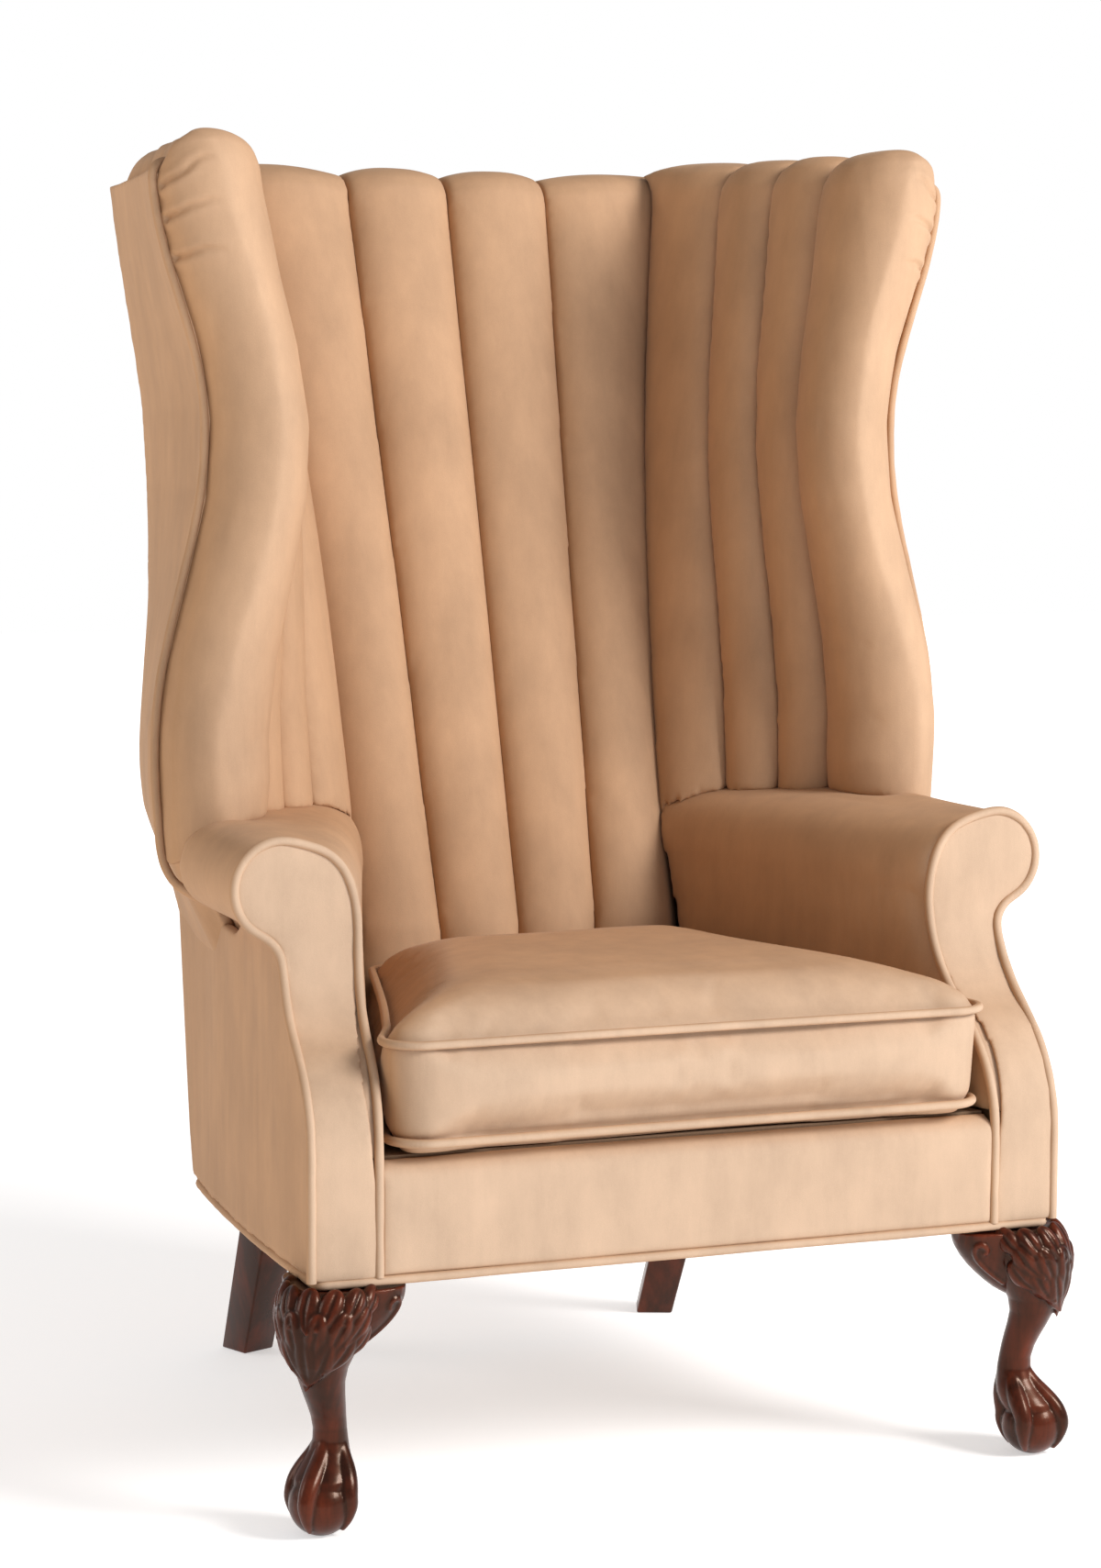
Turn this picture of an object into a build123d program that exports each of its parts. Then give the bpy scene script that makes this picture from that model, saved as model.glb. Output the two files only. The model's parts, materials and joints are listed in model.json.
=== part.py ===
from build123d import *
import os
from math import cos, hypot, pi, sqrt, tan

# Tall wing armchair with a channelled back, scroll arms, a loose seat cushion and carved front legs.
# Millimetres. X runs to the right as seen from the front, Y from the front of the base to the back,
# Z up from the floor. The finished pieces are moved so that the origin is under the middle of the chair.
# Left and right are as seen from the front; right-hand pieces are built and mirrored for the left.

# Base
BASE_FRONT_HEIGHT = 234.0
BASE_REAR_HEIGHT = 208.0
BASE_FRONT_HALF = 379.0
BASE_MIDDLE_HALF = BASE_FRONT_HALF - 19.0
BASE_REAR_HALF = BASE_FRONT_HALF - 57.0
BASE_DEPTH = 600.0
PANEL = 7.0
PIPING_RADIUS = 4.5
CLEARANCE = 0.3
BASE_FRONT_CORNER = 16.0
BASE_REAR_CORNER = 46.0

# Back and wings
SEAT_HEIGHT = 487.0
DECK_HEIGHT = 345.0
INSIDE_BACK_Y = BASE_DEPTH - 130.0
INSIDE_RAKE = 0.29
TUCK_RAKE = 0.1
OUTSIDE_RAKE = 0.167
SHOULDER_HEIGHT = 1240.0
BACK_CREST_HEIGHT = SHOULDER_HEIGHT + 42.0
WING_CREST_HEIGHT = SHOULDER_HEIGHT + 51.0
BACK_PAD = 38.0
WING_PAD = 34.0
BACK_CROWN = 15.0
WING_CROWN = 11.0
SEAM_GAP = 0.4
CORNER_SEAM_SEAT = BASE_REAR_HALF - 150.0
CORNER_SEAM_TOP = CORNER_SEAM_SEAT + 66.0
INNER_SEAM_SEAT = CORNER_SEAM_SEAT - 84.0
INNER_SEAM_TOP = INNER_SEAM_SEAT + 26.0
CORNER_MITRE = 26.0
WING_SEAM_SHARES = (0.0, 0.40, 0.70, 1.0)
CAP_FRONT = 30.0
CAP_REAR = 15.0
PANEL_RISE = 18.0

# Wing outline: the front edge swings out at the hip, in at the waist and out again at the crest
WING_FRONT_Y = INSIDE_BACK_Y - 148.0
WING_HIP_HEIGHT = 685.0
WING_HIP_X = BASE_FRONT_HALF + 52.0
WING_WAIST_HEIGHT = 996.0
WING_WAIST_X = WING_HIP_X - 67.0
WING_SWING_HEIGHT = SHOULDER_HEIGHT + 60.0
WING_SWING_X = WING_HIP_X - 13.0
ROLL_SEAM_HIP_X = WING_HIP_X - 110.0
ROLL_SEAM_WAIST_X = WING_WAIST_X - 74.0
ROLL_SEAM_SWING_X = WING_SWING_X - 94.0
ROLL_SEAM_LOW_Y = WING_FRONT_Y + 62.0
ROLL_SEAM_TOP_Y = WING_FRONT_Y + 103.0
ROLL_CROWN = 46.0
WING_LEVELS = 9
REAR_HALF_ARM = BASE_REAR_HALF + 24.0
REAR_HALF_WAIST = BASE_REAR_HALF + 13.0
REAR_HALF_TOP = BASE_REAR_HALF + 35.0

# Arms
ARM_TOP = 626.0
ARM_FRONT_Y = 114.0
ARM_FRONT_INNER = BASE_FRONT_HALF - 78.0
ARM_REAR_INNER = BASE_REAR_HALF - 150.0
ARM_LEAN = 22.0
ARM_SHOULDER = 548.0
ARM_EDGE = 46.0
SCROLL_X = BASE_FRONT_HALF - 7.0
SCROLL_RADIUS = 45.0
ARM_WAIST_HEIGHT = 512.0
ARM_WAIST_X = BASE_FRONT_HALF - 8.0
SCROLL_TAPER = 0.02
SWEEP_LOW = 335.0
SWEEP_HIGH = 545.0
FACING = 6.0
FACING_INNER_BASE = BASE_FRONT_HALF - 60.0

# Loose seat cushion
CUSHION_FRONT_Y = -8.0
CUSHION_BACK_GAP = 5.0
CUSHION_FRONT_HALF = ARM_FRONT_INNER + 11.0
CUSHION_REAR_HALF = ARM_REAR_INNER + 6.0
CUSHION_FRONT_CORNER = 38.0
CUSHION_REAR_CORNER = 28.0
CUSHION_DRAWN = 4.0
CUSHION_SEAT_GAP = 0.4
CUSHION_LEAST_CORNER = 12.0
BOXING_LOW = 359.0
BOXING_HIGH = 450.0
CUSHION_CREST = 486.0
BOXING = 5.0

# Legs
FRONT_LEG_X = BASE_FRONT_HALF - 38.0
FRONT_LEG_Y = 42.0
LEG_TOP = 246.0
FOOT_X = FRONT_LEG_X + 30.0
FOOT_Y = FRONT_LEG_Y - 25.0
FOOT_RADIUS = 35.0
KNEE_RADIUS = 44.0
KNEE_TOP_RADIUS = 41.0
LEG_NECK_RADIUS = 25.0
ANKLE_RADIUS = 16.0
ANKLE_HEIGHT = 92.0
KNEE_HEIGHT = 204.0
BRACKET_REACH = 62.0
BRACKET_DROP = 62.0
BRACKET_WIDTH = 30.0
REAR_LEG_X = BASE_REAR_HALF - 80.0
REAR_LEG_TOP_Y = BASE_DEPTH - 55.0
REAR_BEND_Y = REAR_LEG_TOP_Y + 12.0
REAR_FOOT_Y = REAR_LEG_TOP_Y + 119.0
REAR_LEG_TOP_SIDE = 46.0
REAR_BEND_SIDE = 45.0
REAR_FOOT_SIDE = 40.0
REAR_LEG_TURN = -22.0
BOLT_RADIUS = 4.0
BOLT_LENGTH = 76.0

# Wooden frame
RAIL = 22.0
RAIL_TOP = 322.0
CORNER_BLOCK = 44.0
POST_WIDTH = 40.0
POST_DEPTH = 46.0
ARM_BOARD = 20.0
ARM_BOARD_WIDTH = 42.0
BACK_PANEL_X = REAR_LEG_X + 26.0
BACK_RAIL_HEIGHT = 44.0
LOWER_RAIL_Z = 470.0
WING_UPRIGHT_DEPTH = 44.0
WING_RAIL_HEIGHT = 36.0

# Seat suspension
SPRING_COUNT = 5
SPRING_WIRE = 1.9
SPRING_LOOP = 14.0
SPRING_BENDS = 12
WEB_COUNT = 5
WEB_WIDTH = 50.0
WEB_THICKNESS = 2.4
LINING = 2.0


# Shape functions shared by the pieces

def base_z(y):
    """Height of the base's underside at depth y."""
    return BASE_FRONT_HEIGHT + (BASE_REAR_HEIGHT - BASE_FRONT_HEIGHT) * y / BASE_DEPTH


def side_x(y):
    """Half width of the base at depth y, on a gentle bow through its front, middle and rear widths."""
    t = y / BASE_DEPTH
    front_share = 2 * (t - 0.5) * (t - 1)
    middle_share = -4 * t * (t - 1)
    rear_share = 2 * t * (t - 0.5)
    return front_share * BASE_FRONT_HALF + middle_share * BASE_MIDDLE_HALF + rear_share * BASE_REAR_HALF


def outside_back_y(z):
    """Depth of the outside back's face at height z."""
    return BASE_DEPTH + (z - BASE_REAR_HEIGHT) * OUTSIDE_RAKE


def inside_back_y(z):
    """Depth of the inside back's seams at height z: raked above the seat, steeper where it tucks in below."""
    return INSIDE_BACK_Y + (z - SEAT_HEIGHT) * (INSIDE_RAKE if z > SEAT_HEIGHT else TUCK_RAKE)


def webbing_y(z):
    """Depth of the plane behind the back flutes, where the webbing lies."""
    return inside_back_y(z) + BACK_PAD + CLEARANCE


def rear_half(z):
    """Half width of the wing's rear edge at height z."""
    if z < WING_WAIST_HEIGHT:
        t = (z - ARM_TOP) / (WING_WAIST_HEIGHT - ARM_TOP)
        return REAR_HALF_ARM + t * (REAR_HALF_WAIST - REAR_HALF_ARM)
    t = (z - WING_WAIST_HEIGHT) / (WING_SWING_HEIGHT - WING_WAIST_HEIGHT)
    return REAR_HALF_WAIST + t * (REAR_HALF_TOP - REAR_HALF_WAIST)


def serpentine(z, hip, waist, swing):
    """Value at height z of a smooth line through the wing's hip, waist and crest."""
    end, reach = (hip, WING_HIP_HEIGHT) if z < WING_WAIST_HEIGHT else (swing, WING_SWING_HEIGHT)
    t = (z - WING_WAIST_HEIGHT) / (reach - WING_WAIST_HEIGHT)
    return waist + (end - waist) * (1 - cos(pi * t)) / 2


def back_seams(z):
    """Plan points of the back's five seams at height z, from left to right."""
    t = (z - SEAT_HEIGHT) / (SHOULDER_HEIGHT - SEAT_HEIGHT)
    inner = INNER_SEAM_SEAT + (INNER_SEAM_TOP - INNER_SEAM_SEAT) * t
    corner = CORNER_SEAM_SEAT + (CORNER_SEAM_TOP - CORNER_SEAM_SEAT) * max(t, 0) ** 2
    y = inside_back_y(z)
    return [(x, y) for x in (-corner, -inner, 0.0, inner, corner)]


def wing_edge(z):
    """Plan point of the wing's piped front edge at height z."""
    return (serpentine(z, WING_HIP_X, WING_WAIST_X, WING_SWING_X), WING_FRONT_Y)


def roll_seam(z):
    """Plan point of the seam between the last wing flute and the wing roll at height z."""
    t = (z - ARM_TOP) / (SHOULDER_HEIGHT - ARM_TOP)
    x = serpentine(z, ROLL_SEAM_HIP_X, ROLL_SEAM_WAIST_X, ROLL_SEAM_SWING_X)
    return (x, ROLL_SEAM_LOW_Y + (ROLL_SEAM_TOP_Y - ROLL_SEAM_LOW_Y) * t * t)


def between(start, end, share):
    """Point a share of the way from start to end."""
    return tuple(a + (b - a) * share for a, b in zip(start, end))


def unit(start, end):
    """Unit vector in plan from start to end."""
    length = hypot(end[0] - start[0], end[1] - start[1])
    return ((end[0] - start[0]) / length, (end[1] - start[1]) / length)


def moved(point, direction, distance):
    """Plan point moved along a direction."""
    return (point[0] + direction[0] * distance, point[1] + direction[1] * distance)


def wing_seams(z):
    """Plan points of the wing's four seams at height z, from the back corner to the roll."""
    corner = back_seams(z)[-1]
    return [between(corner, roll_seam(z), share) for share in WING_SEAM_SHARES]


def wing_backing(z):
    """Plan points behind the wing's four seams."""
    seams = wing_seams(z)
    run = unit(seams[0], seams[-1])
    outward = (-run[1], run[0])
    corner = (seams[0][0] + CORNER_MITRE, seams[0][1] + BACK_PAD)
    return [corner] + [moved(seam, outward, WING_PAD) for seam in seams[1:]]


def sweep_radius():
    """Radius of the two arcs of the arm front's S."""
    half_run = ARM_FRONT_Y / 2
    half_rise = (SWEEP_HIGH - SWEEP_LOW) / 2
    return (half_run ** 2 + half_rise ** 2) / (2 * half_run)


def facing_y(z):
    """Depth of the arm's front face at height z: upright, then an S back to the scroll."""
    radius = sweep_radius()
    if z <= SWEEP_LOW:
        return 0.0
    if z >= SWEEP_HIGH:
        return ARM_FRONT_Y
    if z <= (SWEEP_LOW + SWEEP_HIGH) / 2:
        return radius - sqrt(radius ** 2 - (z - SWEEP_LOW) ** 2)
    return ARM_FRONT_Y - radius + sqrt(radius ** 2 - (SWEEP_HIGH - z) ** 2)


def arm_inner(y):
    """Half distance between the arms' inside faces at depth y, at shoulder height."""
    slope = (ARM_REAR_INNER - ARM_FRONT_INNER) / (inside_back_y(ARM_SHOULDER) - ARM_FRONT_Y)
    return ARM_FRONT_INNER + slope * (y - ARM_FRONT_Y)


# Solid helpers

def outline(start, *steps):
    """Closed face. One point in a step is a line to it, two are an arc through the first to the second."""
    edges = []
    here = start
    for step in steps:
        if isinstance(step[0], tuple):
            edges.append(ThreePointArc(here, step[0], step[1]))
            here = step[1]
        else:
            edges.append(Line(here, step))
            here = step
    edges.append(Line(here, start))
    return make_face(edges)


def at_height(point, z):
    """Plan point lifted to height z."""
    return (point[0], point[1], z)


def side_slab(points, x_low, x_high):
    """Solid between two X values with a side outline of (y, z) points."""
    face = make_face(Polyline(*[(x_low, y, z) for y, z in points], close=True))
    return extrude(face, amount=x_high - x_low, dir=(1, 0, 0))


def plan_slab(points, z_low, z_high):
    """Solid between two heights with a plan outline of (x, y) points."""
    face = make_face(Polyline(*[(x, y, z_low) for x, y in points], close=True))
    return extrude(face, amount=z_high - z_low, dir=(0, 0, 1))


def block(low, high):
    """Box between two corners."""
    size = [b - a for a, b in zip(low, high)]
    middle = [(a + b) / 2 for a, b in zip(low, high)]
    return Pos(*middle) * Box(*size)


def corner_radii(points):
    """Largest even fillet radius for each inner corner of a route."""
    radii = []
    for before, corner, after in zip(points, points[1:], points[2:]):
        arriving = Vector(*corner) - Vector(*before)
        leaving = Vector(*after) - Vector(*corner)
        turn = arriving.get_angle(leaving) * pi / 180
        radii.append(0.45 * min(arriving.length, leaving.length) / tan(turn / 2))
    return radii


def tube(points, radius):
    """Round tube along an open route with rounded corners."""
    path = FilletPolyline(*points, radius=corner_radii(points))
    return sweep(Plane(path @ 0, z_dir=path % 0) * Circle(radius), path=path)


def closed_tube(points, corners, radius):
    """Round tube round a closed route."""
    path = FilletPolyline(*points, radius=corners, close=True)
    return sweep(Plane(path @ 0, z_dir=path % 0) * Circle(radius), path=path)


def mirrored(shape):
    """The same piece on the left."""
    return mirror(shape, about=Plane.YZ)


# Back flutes

def flute_face(z, seams, backing, crown):
    """Section of one flute: an arc from seam to seam, and a flat back."""
    run = unit(*seams)
    start, end = moved(seams[0], run, SEAM_GAP / 2), moved(seams[1], run, -SEAM_GAP / 2)
    back_start, back_end = moved(backing[0], run, SEAM_GAP / 2), moved(backing[1], run, -SEAM_GAP / 2)
    crest = moved(between(start, end, 0.5), (run[1], -run[0]), crown)
    return outline(at_height(start, z), (at_height(crest, z), at_height(end, z)),
                   at_height(back_end, z), at_height(back_start, z))


def rounded_cap(face_at, z_low, z_high):
    """Domed top over a section: copies of it drawn in towards the crest."""
    steps = ((0.0, 0.0), (0.5, 0.15), (0.82, 0.5), (1.0, 1.0))
    return loft([face_at(z_low + rise * (z_high - z_low), inset) for rise, inset in steps], ruled=True)


def back_flute(index):
    """One upright flute of the back, rolled over the top rail."""
    def body(z):
        front = back_seams(z)[index:index + 2]
        rear = [(x, webbing_y(z) - CLEARANCE) for x, y in front]
        if index == 0:
            rear[0] = (rear[0][0] - CORNER_MITRE, rear[0][1])
        if index == 3:
            rear[1] = (rear[1][0] + CORNER_MITRE, rear[1][1])
        return flute_face(z, front, rear, BACK_CROWN)

    def cap(z, inset):
        front = [(x, y + inset * CAP_FRONT) for x, y in back_seams(SHOULDER_HEIGHT)[index:index + 2]]
        corner = rear_corner(SHOULDER_HEIGHT)
        rear = [(x, corner[1] - inset * CAP_REAR) for x, y in front]
        if index == 0:
            rear[0] = (inset * CAP_REAR - corner[0], rear[0][1])
        if index == 3:
            rear[1] = (corner[0] - inset * CAP_REAR, rear[1][1])
        return flute_face(z, front, rear, BACK_CROWN)

    levels = [DECK_HEIGHT + CLEARANCE, SEAT_HEIGHT] + wing_heights(ARM_SHOULDER, SHOULDER_HEIGHT)
    return loft([body(z) for z in levels], ruled=True) + rounded_cap(cap, SHOULDER_HEIGHT, BACK_CREST_HEIGHT)


# Wings

def wing_heights(z_low, z_high):
    """Even section heights up the wing."""
    return [z_low + (z_high - z_low) * i / (WING_LEVELS - 1) for i in range(WING_LEVELS)]


def outer_line(z):
    """Plan points of the outside wing's face at height z, from behind the piping to the outside back."""
    front = wing_edge(z)
    rear = (rear_half(z), outside_back_y(z) - PANEL - CLEARANCE)
    return moved(front, unit(front, rear), PIPING_RADIUS + 1.0), rear


def inner_outer_point(z, y):
    """Plan point on the outside wing's inner face at depth y."""
    front, rear = outer_line(z)
    x = between(front, rear, (y - front[1]) / (rear[1] - front[1]))[0]
    return (x - PANEL - 2 * CLEARANCE, y)


def rear_corner(z):
    """Plan point inside the corner of the outside wing and the outside back at height z."""
    y = outside_back_y(z) - PANEL - CLEARANCE
    return (rear_half(z) - PANEL - 2 * CLEARANCE, y)


def wing_flute(index):
    """One flute of the right wing, with a cap across the wing's whole thickness."""
    def body(z):
        return flute_face(z, wing_seams(z)[index:index + 2], wing_backing(z)[index:index + 2], WING_CROWN)

    def cap(z, inset):
        seams = wing_seams(SHOULDER_HEIGHT)[index:index + 2]
        run = unit(*seams)
        front = [moved(seam, (-run[1], run[0]), inset * CAP_FRONT) for seam in seams]
        rear = [inner_outer_point(SHOULDER_HEIGHT, seam[1]) for seam in seams]
        if index == 0:
            front[0] = (seams[0][0], seams[0][1] + inset * CAP_FRONT)
            rear[0] = (rear_corner(SHOULDER_HEIGHT)[0], rear_corner(SHOULDER_HEIGHT)[1] - inset * CAP_REAR)
        rear = [(x - inset * CAP_REAR, y) for x, y in rear]
        return flute_face(z, front, rear, WING_CROWN)

    cap_solid = rounded_cap(cap, SHOULDER_HEIGHT, WING_CREST_HEIGHT)
    return loft([body(z) for z in wing_heights(ARM_SHOULDER, SHOULDER_HEIGHT)], ruled=True) + cap_solid


def roll_face(z, level, shrink):
    """Section of the wing roll as it is at one level, drawn in towards its middle and set at height z."""
    seam, edge, backing = roll_seam(level), wing_edge(level), wing_backing(level)[-1]
    run = unit(wing_seams(level)[0], seam)
    start = moved(seam, run, SEAM_GAP / 2)
    heel = moved(backing, run, SEAM_GAP / 2)
    end = (edge[0] - PIPING_RADIUS - 1.2, edge[1] - PIPING_RADIUS * 0.7)
    toe = (edge[0] - PANEL - 2 * PIPING_RADIUS, edge[1] + WING_PAD)
    front = unit(start, end)
    crest = moved(between(start, end, 0.5), (front[1], -front[0]), ROLL_CROWN)
    inner = moved(between(start, crest, 0.5), (-1.0, 0.0), ROLL_CROWN * 0.28)
    outer = moved(between(crest, end, 0.5), (0.0, -1.0), ROLL_CROWN * 0.38)
    middle = between(crest, between(heel, toe, 0.5), 0.5)
    points = [at_height(between(p, middle, shrink), z) for p in (start, inner, crest, outer, end, toe, heel)]
    start, inner, crest, outer, end, toe, heel = points
    return outline(start, (inner, crest), (outer, end), toe, heel)


def wing_roll():
    """Padded roll down the front of the right wing."""
    body = [roll_face(z, z, 0.0) for z in wing_heights(ARM_TOP + CLEARANCE, SHOULDER_HEIGHT)]
    rise = WING_CREST_HEIGHT - SHOULDER_HEIGHT
    cap = [roll_face(SHOULDER_HEIGHT + rise * share, SHOULDER_HEIGHT, shrink)
           for share, shrink in ((0.5, 0.08), (0.82, 0.25), (1.0, 0.5))]
    return loft(body + cap, ruled=True)


def outside_wing():
    """Outside cover of the right wing, drawn in below to meet the outside arm."""
    def quad(z, front, rear):
        corners = [front, rear, (rear[0] - PANEL, rear[1]), (front[0] - PANEL, front[1])]
        return make_face(Polyline(*[at_height(p, z) for p in corners], close=True))

    def tail(z):
        rear_y = outside_back_y(z) - PANEL - CLEARANCE
        front_y = WING_FRONT_Y + WING_PAD
        return quad(z, (side_x(front_y), front_y), (side_x(BASE_DEPTH), rear_y))

    sections = [tail(ARM_WAIST_HEIGHT + CLEARANCE)]
    sections += [quad(z, *outer_line(z)) for z in wing_heights(ARM_TOP, SHOULDER_HEIGHT + PANEL_RISE)]
    return loft(sections, ruled=True)


def wing_piping():
    """Piping down the front edge of the right wing."""
    return tube([at_height(wing_edge(z), z) for z in wing_heights(ARM_TOP, SHOULDER_HEIGHT + PANEL_RISE)],
                PIPING_RADIUS)


# Arms

def scroll_points(y):
    """Points (x, z) of the arm's outline at depth y from the inside shoulder over the scroll to the waist."""
    inner = arm_inner(y)
    x = SCROLL_X - SCROLL_TAPER * (y - ARM_FRONT_Y)
    z = ARM_TOP - SCROLL_RADIUS
    r = SCROLL_RADIUS
    waist = ARM_WAIST_X + side_x(y) - side_x(ARM_FRONT_Y)
    return {
        "shoulder": (inner, ARM_SHOULDER),
        "edge_bend": (inner + 0.24 * ARM_EDGE, ARM_SHOULDER + 0.68 * (ARM_TOP - ARM_SHOULDER)),
        "edge": (inner + ARM_EDGE, ARM_TOP - 9.0),
        "crest": (x, ARM_TOP),
        "outer_bend": (x + r * cos(pi / 4), z + r * cos(pi / 4)),
        "outer": (x + r, z),
        "under_bend": (x + 0.87 * r, z - 0.5 * r),
        "under": (x + 0.5 * r, z - 0.84 * r),
        "waist_bend": (between((x + 0.5 * r, 0), (waist, 0), 0.72)[0], ARM_WAIST_HEIGHT + 0.48 * r),
        "waist": (waist, ARM_WAIST_HEIGHT),
    }


def arm_face(y, low_z, inner_low, outer_low, outer_inset):
    """Section of the arm at depth y down to low_z."""
    p = {name: (x, y, z) for name, (x, z) in scroll_points(y).items()}
    waist = (p["waist"][0] - outer_inset, y, p["waist"][2])
    return outline((inner_low, y, low_z), p["shoulder"], (p["edge_bend"], p["edge"]), p["crest"],
                   (p["outer_bend"], p["outer"]), (p["under_bend"], p["under"]),
                   (p["waist_bend"], waist), (outer_low - outer_inset, y, low_z))


def sweep_region(offset):
    """Everything behind the arm's front face moved back by an offset."""
    low, high = BASE_REAR_HEIGHT / 2, 2 * ARM_TOP
    middle = (SWEEP_LOW + SWEEP_HIGH) / 2
    quarter = (SWEEP_HIGH - SWEEP_LOW) / 4

    def point(z):
        return (0.0, facing_y(z) + offset, z)

    face = outline(point(low), point(SWEEP_LOW), (point(SWEEP_LOW + quarter), point(middle)),
                   (point(SWEEP_HIGH - quarter), point(SWEEP_HIGH)), point(high),
                   (0.0, 2 * BASE_DEPTH, high), (0.0, 2 * BASE_DEPTH, low))
    return extrude(face, amount=2 * BASE_FRONT_HALF, both=True)


def arm_lean(y):
    """How far the arm's inside face leans in at deck height at depth y."""
    return ARM_LEAN * max(0.0, 1 - y / INSIDE_BACK_Y)


def arm_pad_block():
    """Right arm's inside and scroll as one block, before the frame is let into it."""
    low_z = DECK_HEIGHT + CLEARANCE
    ends = (-PANEL, INSIDE_BACK_Y + BACK_PAD)
    sections = []
    for y in ends:
        outer = side_x(y) - CLEARANCE
        sections.append(arm_face(y, low_z, arm_inner(y) - arm_lean(y), outer, PANEL + 2 * CLEARANCE))
    body = loft(sections, ruled=True) & sweep_region(FACING + CLEARANCE)
    roll_end = WING_FRONT_Y
    back_line = [(inside_back_y(z), z) for z in (low_z - 1, SEAT_HEIGHT, ARM_TOP + 1)]
    before_back = [(0.0, low_z - 1)] + back_line + [(0.0, ARM_TOP + 1)]
    body = body & side_slab(before_back, 0.0, 2 * BASE_FRONT_HALF)
    rear_y = INSIDE_BACK_Y + BACK_PAD
    inset = PANEL + 4 * CLEARANCE
    inside = [(0.0, roll_end)] + [(side_x(y) - inset, y) for y in (roll_end, rear_y)] + [(0.0, rear_y)]
    front = block((0.0, -BASE_DEPTH, 0.0), (2 * BASE_FRONT_HALF, roll_end, 2 * ARM_TOP))
    return body & (front + plan_slab(inside, 0.0, 2 * ARM_TOP))


def arm_facing():
    """Front panel of the right arm, swept back in an S under the scroll."""
    sections = []
    for y in (-PANEL, ARM_FRONT_Y + 2 * FACING):
        low_z = base_z(0) + PIPING_RADIUS + CLEARANCE
        sections.append(arm_face(y, low_z, FACING_INNER_BASE, side_x(0), 0.0))
    return loft(sections, ruled=True) & (sweep_region(0.0) - sweep_region(FACING))


def facing_piping():
    """Piping round the edge of the right arm's facing."""
    off = PIPING_RADIUS + 2 * CLEARANCE
    p = scroll_points(ARM_FRONT_Y)
    low_z = base_z(0) + 3 * PIPING_RADIUS
    middle = (SWEEP_LOW + SWEEP_HIGH) / 2
    inner_middle = (FACING_INNER_BASE + ARM_FRONT_INNER) / 2
    outer_middle = (BASE_FRONT_HALF + ARM_WAIST_X) / 2
    route = [
        (FACING_INNER_BASE - off, low_z), (FACING_INNER_BASE - off, SWEEP_LOW), (inner_middle - off, middle),
        (p["shoulder"][0] - off, ARM_SHOULDER), (p["edge_bend"][0] - off, p["edge_bend"][1] + off),
        (p["edge"][0] - 0.4 * off, p["edge"][1] + off), (p["crest"][0], ARM_TOP + off),
        (p["outer_bend"][0] + off, p["outer_bend"][1] + off), (p["outer"][0] + off, p["outer"][1]),
        (p["under_bend"][0] + off, p["under_bend"][1] - off),
        (p["under"][0] + 0.6 * off, p["under"][1] - off),
        (p["waist_bend"][0] + 0.6 * off, p["waist_bend"][1] - 0.6 * off),
        (p["waist"][0] + off, ARM_WAIST_HEIGHT - off), (outer_middle + off, middle),
        (BASE_FRONT_HALF + off, SWEEP_LOW), (BASE_FRONT_HALF + off, low_z),
    ]
    return tube([(x, facing_y(z) + FACING / 2, z) for x, z in route], PIPING_RADIUS)


def outside_arm():
    """Outside cover of the right arm, from the base to under the scroll."""
    front_y = 0.0
    outer = [(side_x(y), y) for y in (front_y, BASE_DEPTH / 2, BASE_DEPTH)]
    inner = [(x - PANEL, y) for x, y in outer]
    low, high = BASE_REAR_HEIGHT / 2, ARM_WAIST_HEIGHT
    face = outline(at_height(outer[0], low), (at_height(outer[1], low), at_height(outer[2], low)),
                   at_height(inner[2], low), (at_height(inner[1], low), at_height(inner[0], low)))
    wall = extrude(face, amount=high - low, dir=(0, 0, 1)) & sweep_region(FACING + CLEARANCE)
    lift = PIPING_RADIUS + CLEARANCE
    rear_inset = PANEL + CLEARANCE
    rear_low = base_z(BASE_DEPTH) + lift
    rear = [(outside_back_y(z) - rear_inset, z) for z in (rear_low, high)]
    side = [(0.0, base_z(0) + lift)] + rear + [(0.0, high)]
    return wall & side_slab(side, 0.0, 2 * BASE_FRONT_HALF)


# Front border, outside back and base piping

def front_border():
    """Padded panel under the cushion between the facings."""
    half = FACING_INNER_BASE - 2 * PIPING_RADIUS - 4 * CLEARANCE
    low_z = base_z(0) + PIPING_RADIUS + CLEARANCE
    round_y = RAIL
    top = DECK_HEIGHT - 1.0
    bend = 0.2929
    face = outline((-half, 0.0, low_z), (-half, 0.0, top - round_y),
                   ((-half, bend * round_y, top - bend * round_y), (-half, round_y, top)),
                   (-half, round_y, RAIL_TOP + CLEARANCE),
                   (-half, PANEL, RAIL_TOP + CLEARANCE), (-half, PANEL, low_z))
    return extrude(face, amount=2 * half, dir=(1, 0, 0))


def outside_back():
    """Flat outside back from the base to the top of the wings."""
    sections = []
    low_z = base_z(BASE_DEPTH) + PIPING_RADIUS + CLEARANCE
    top_z = SHOULDER_HEIGHT + PANEL_RISE
    for z, half in ((low_z, side_x(BASE_DEPTH)), (ARM_WAIST_HEIGHT, side_x(BASE_DEPTH)),
                    (ARM_TOP, rear_half(ARM_TOP)), (WING_WAIST_HEIGHT, rear_half(WING_WAIST_HEIGHT)),
                    (top_z, rear_half(top_z))):
        y = outside_back_y(z)
        corners = [(-half, y - PANEL), (half, y - PANEL), (half - PANEL, y), (PANEL - half, y)]
        sections.append(make_face(Polyline(*[at_height(p, z) for p in corners], close=True)))
    return loft(sections, ruled=True)


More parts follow.
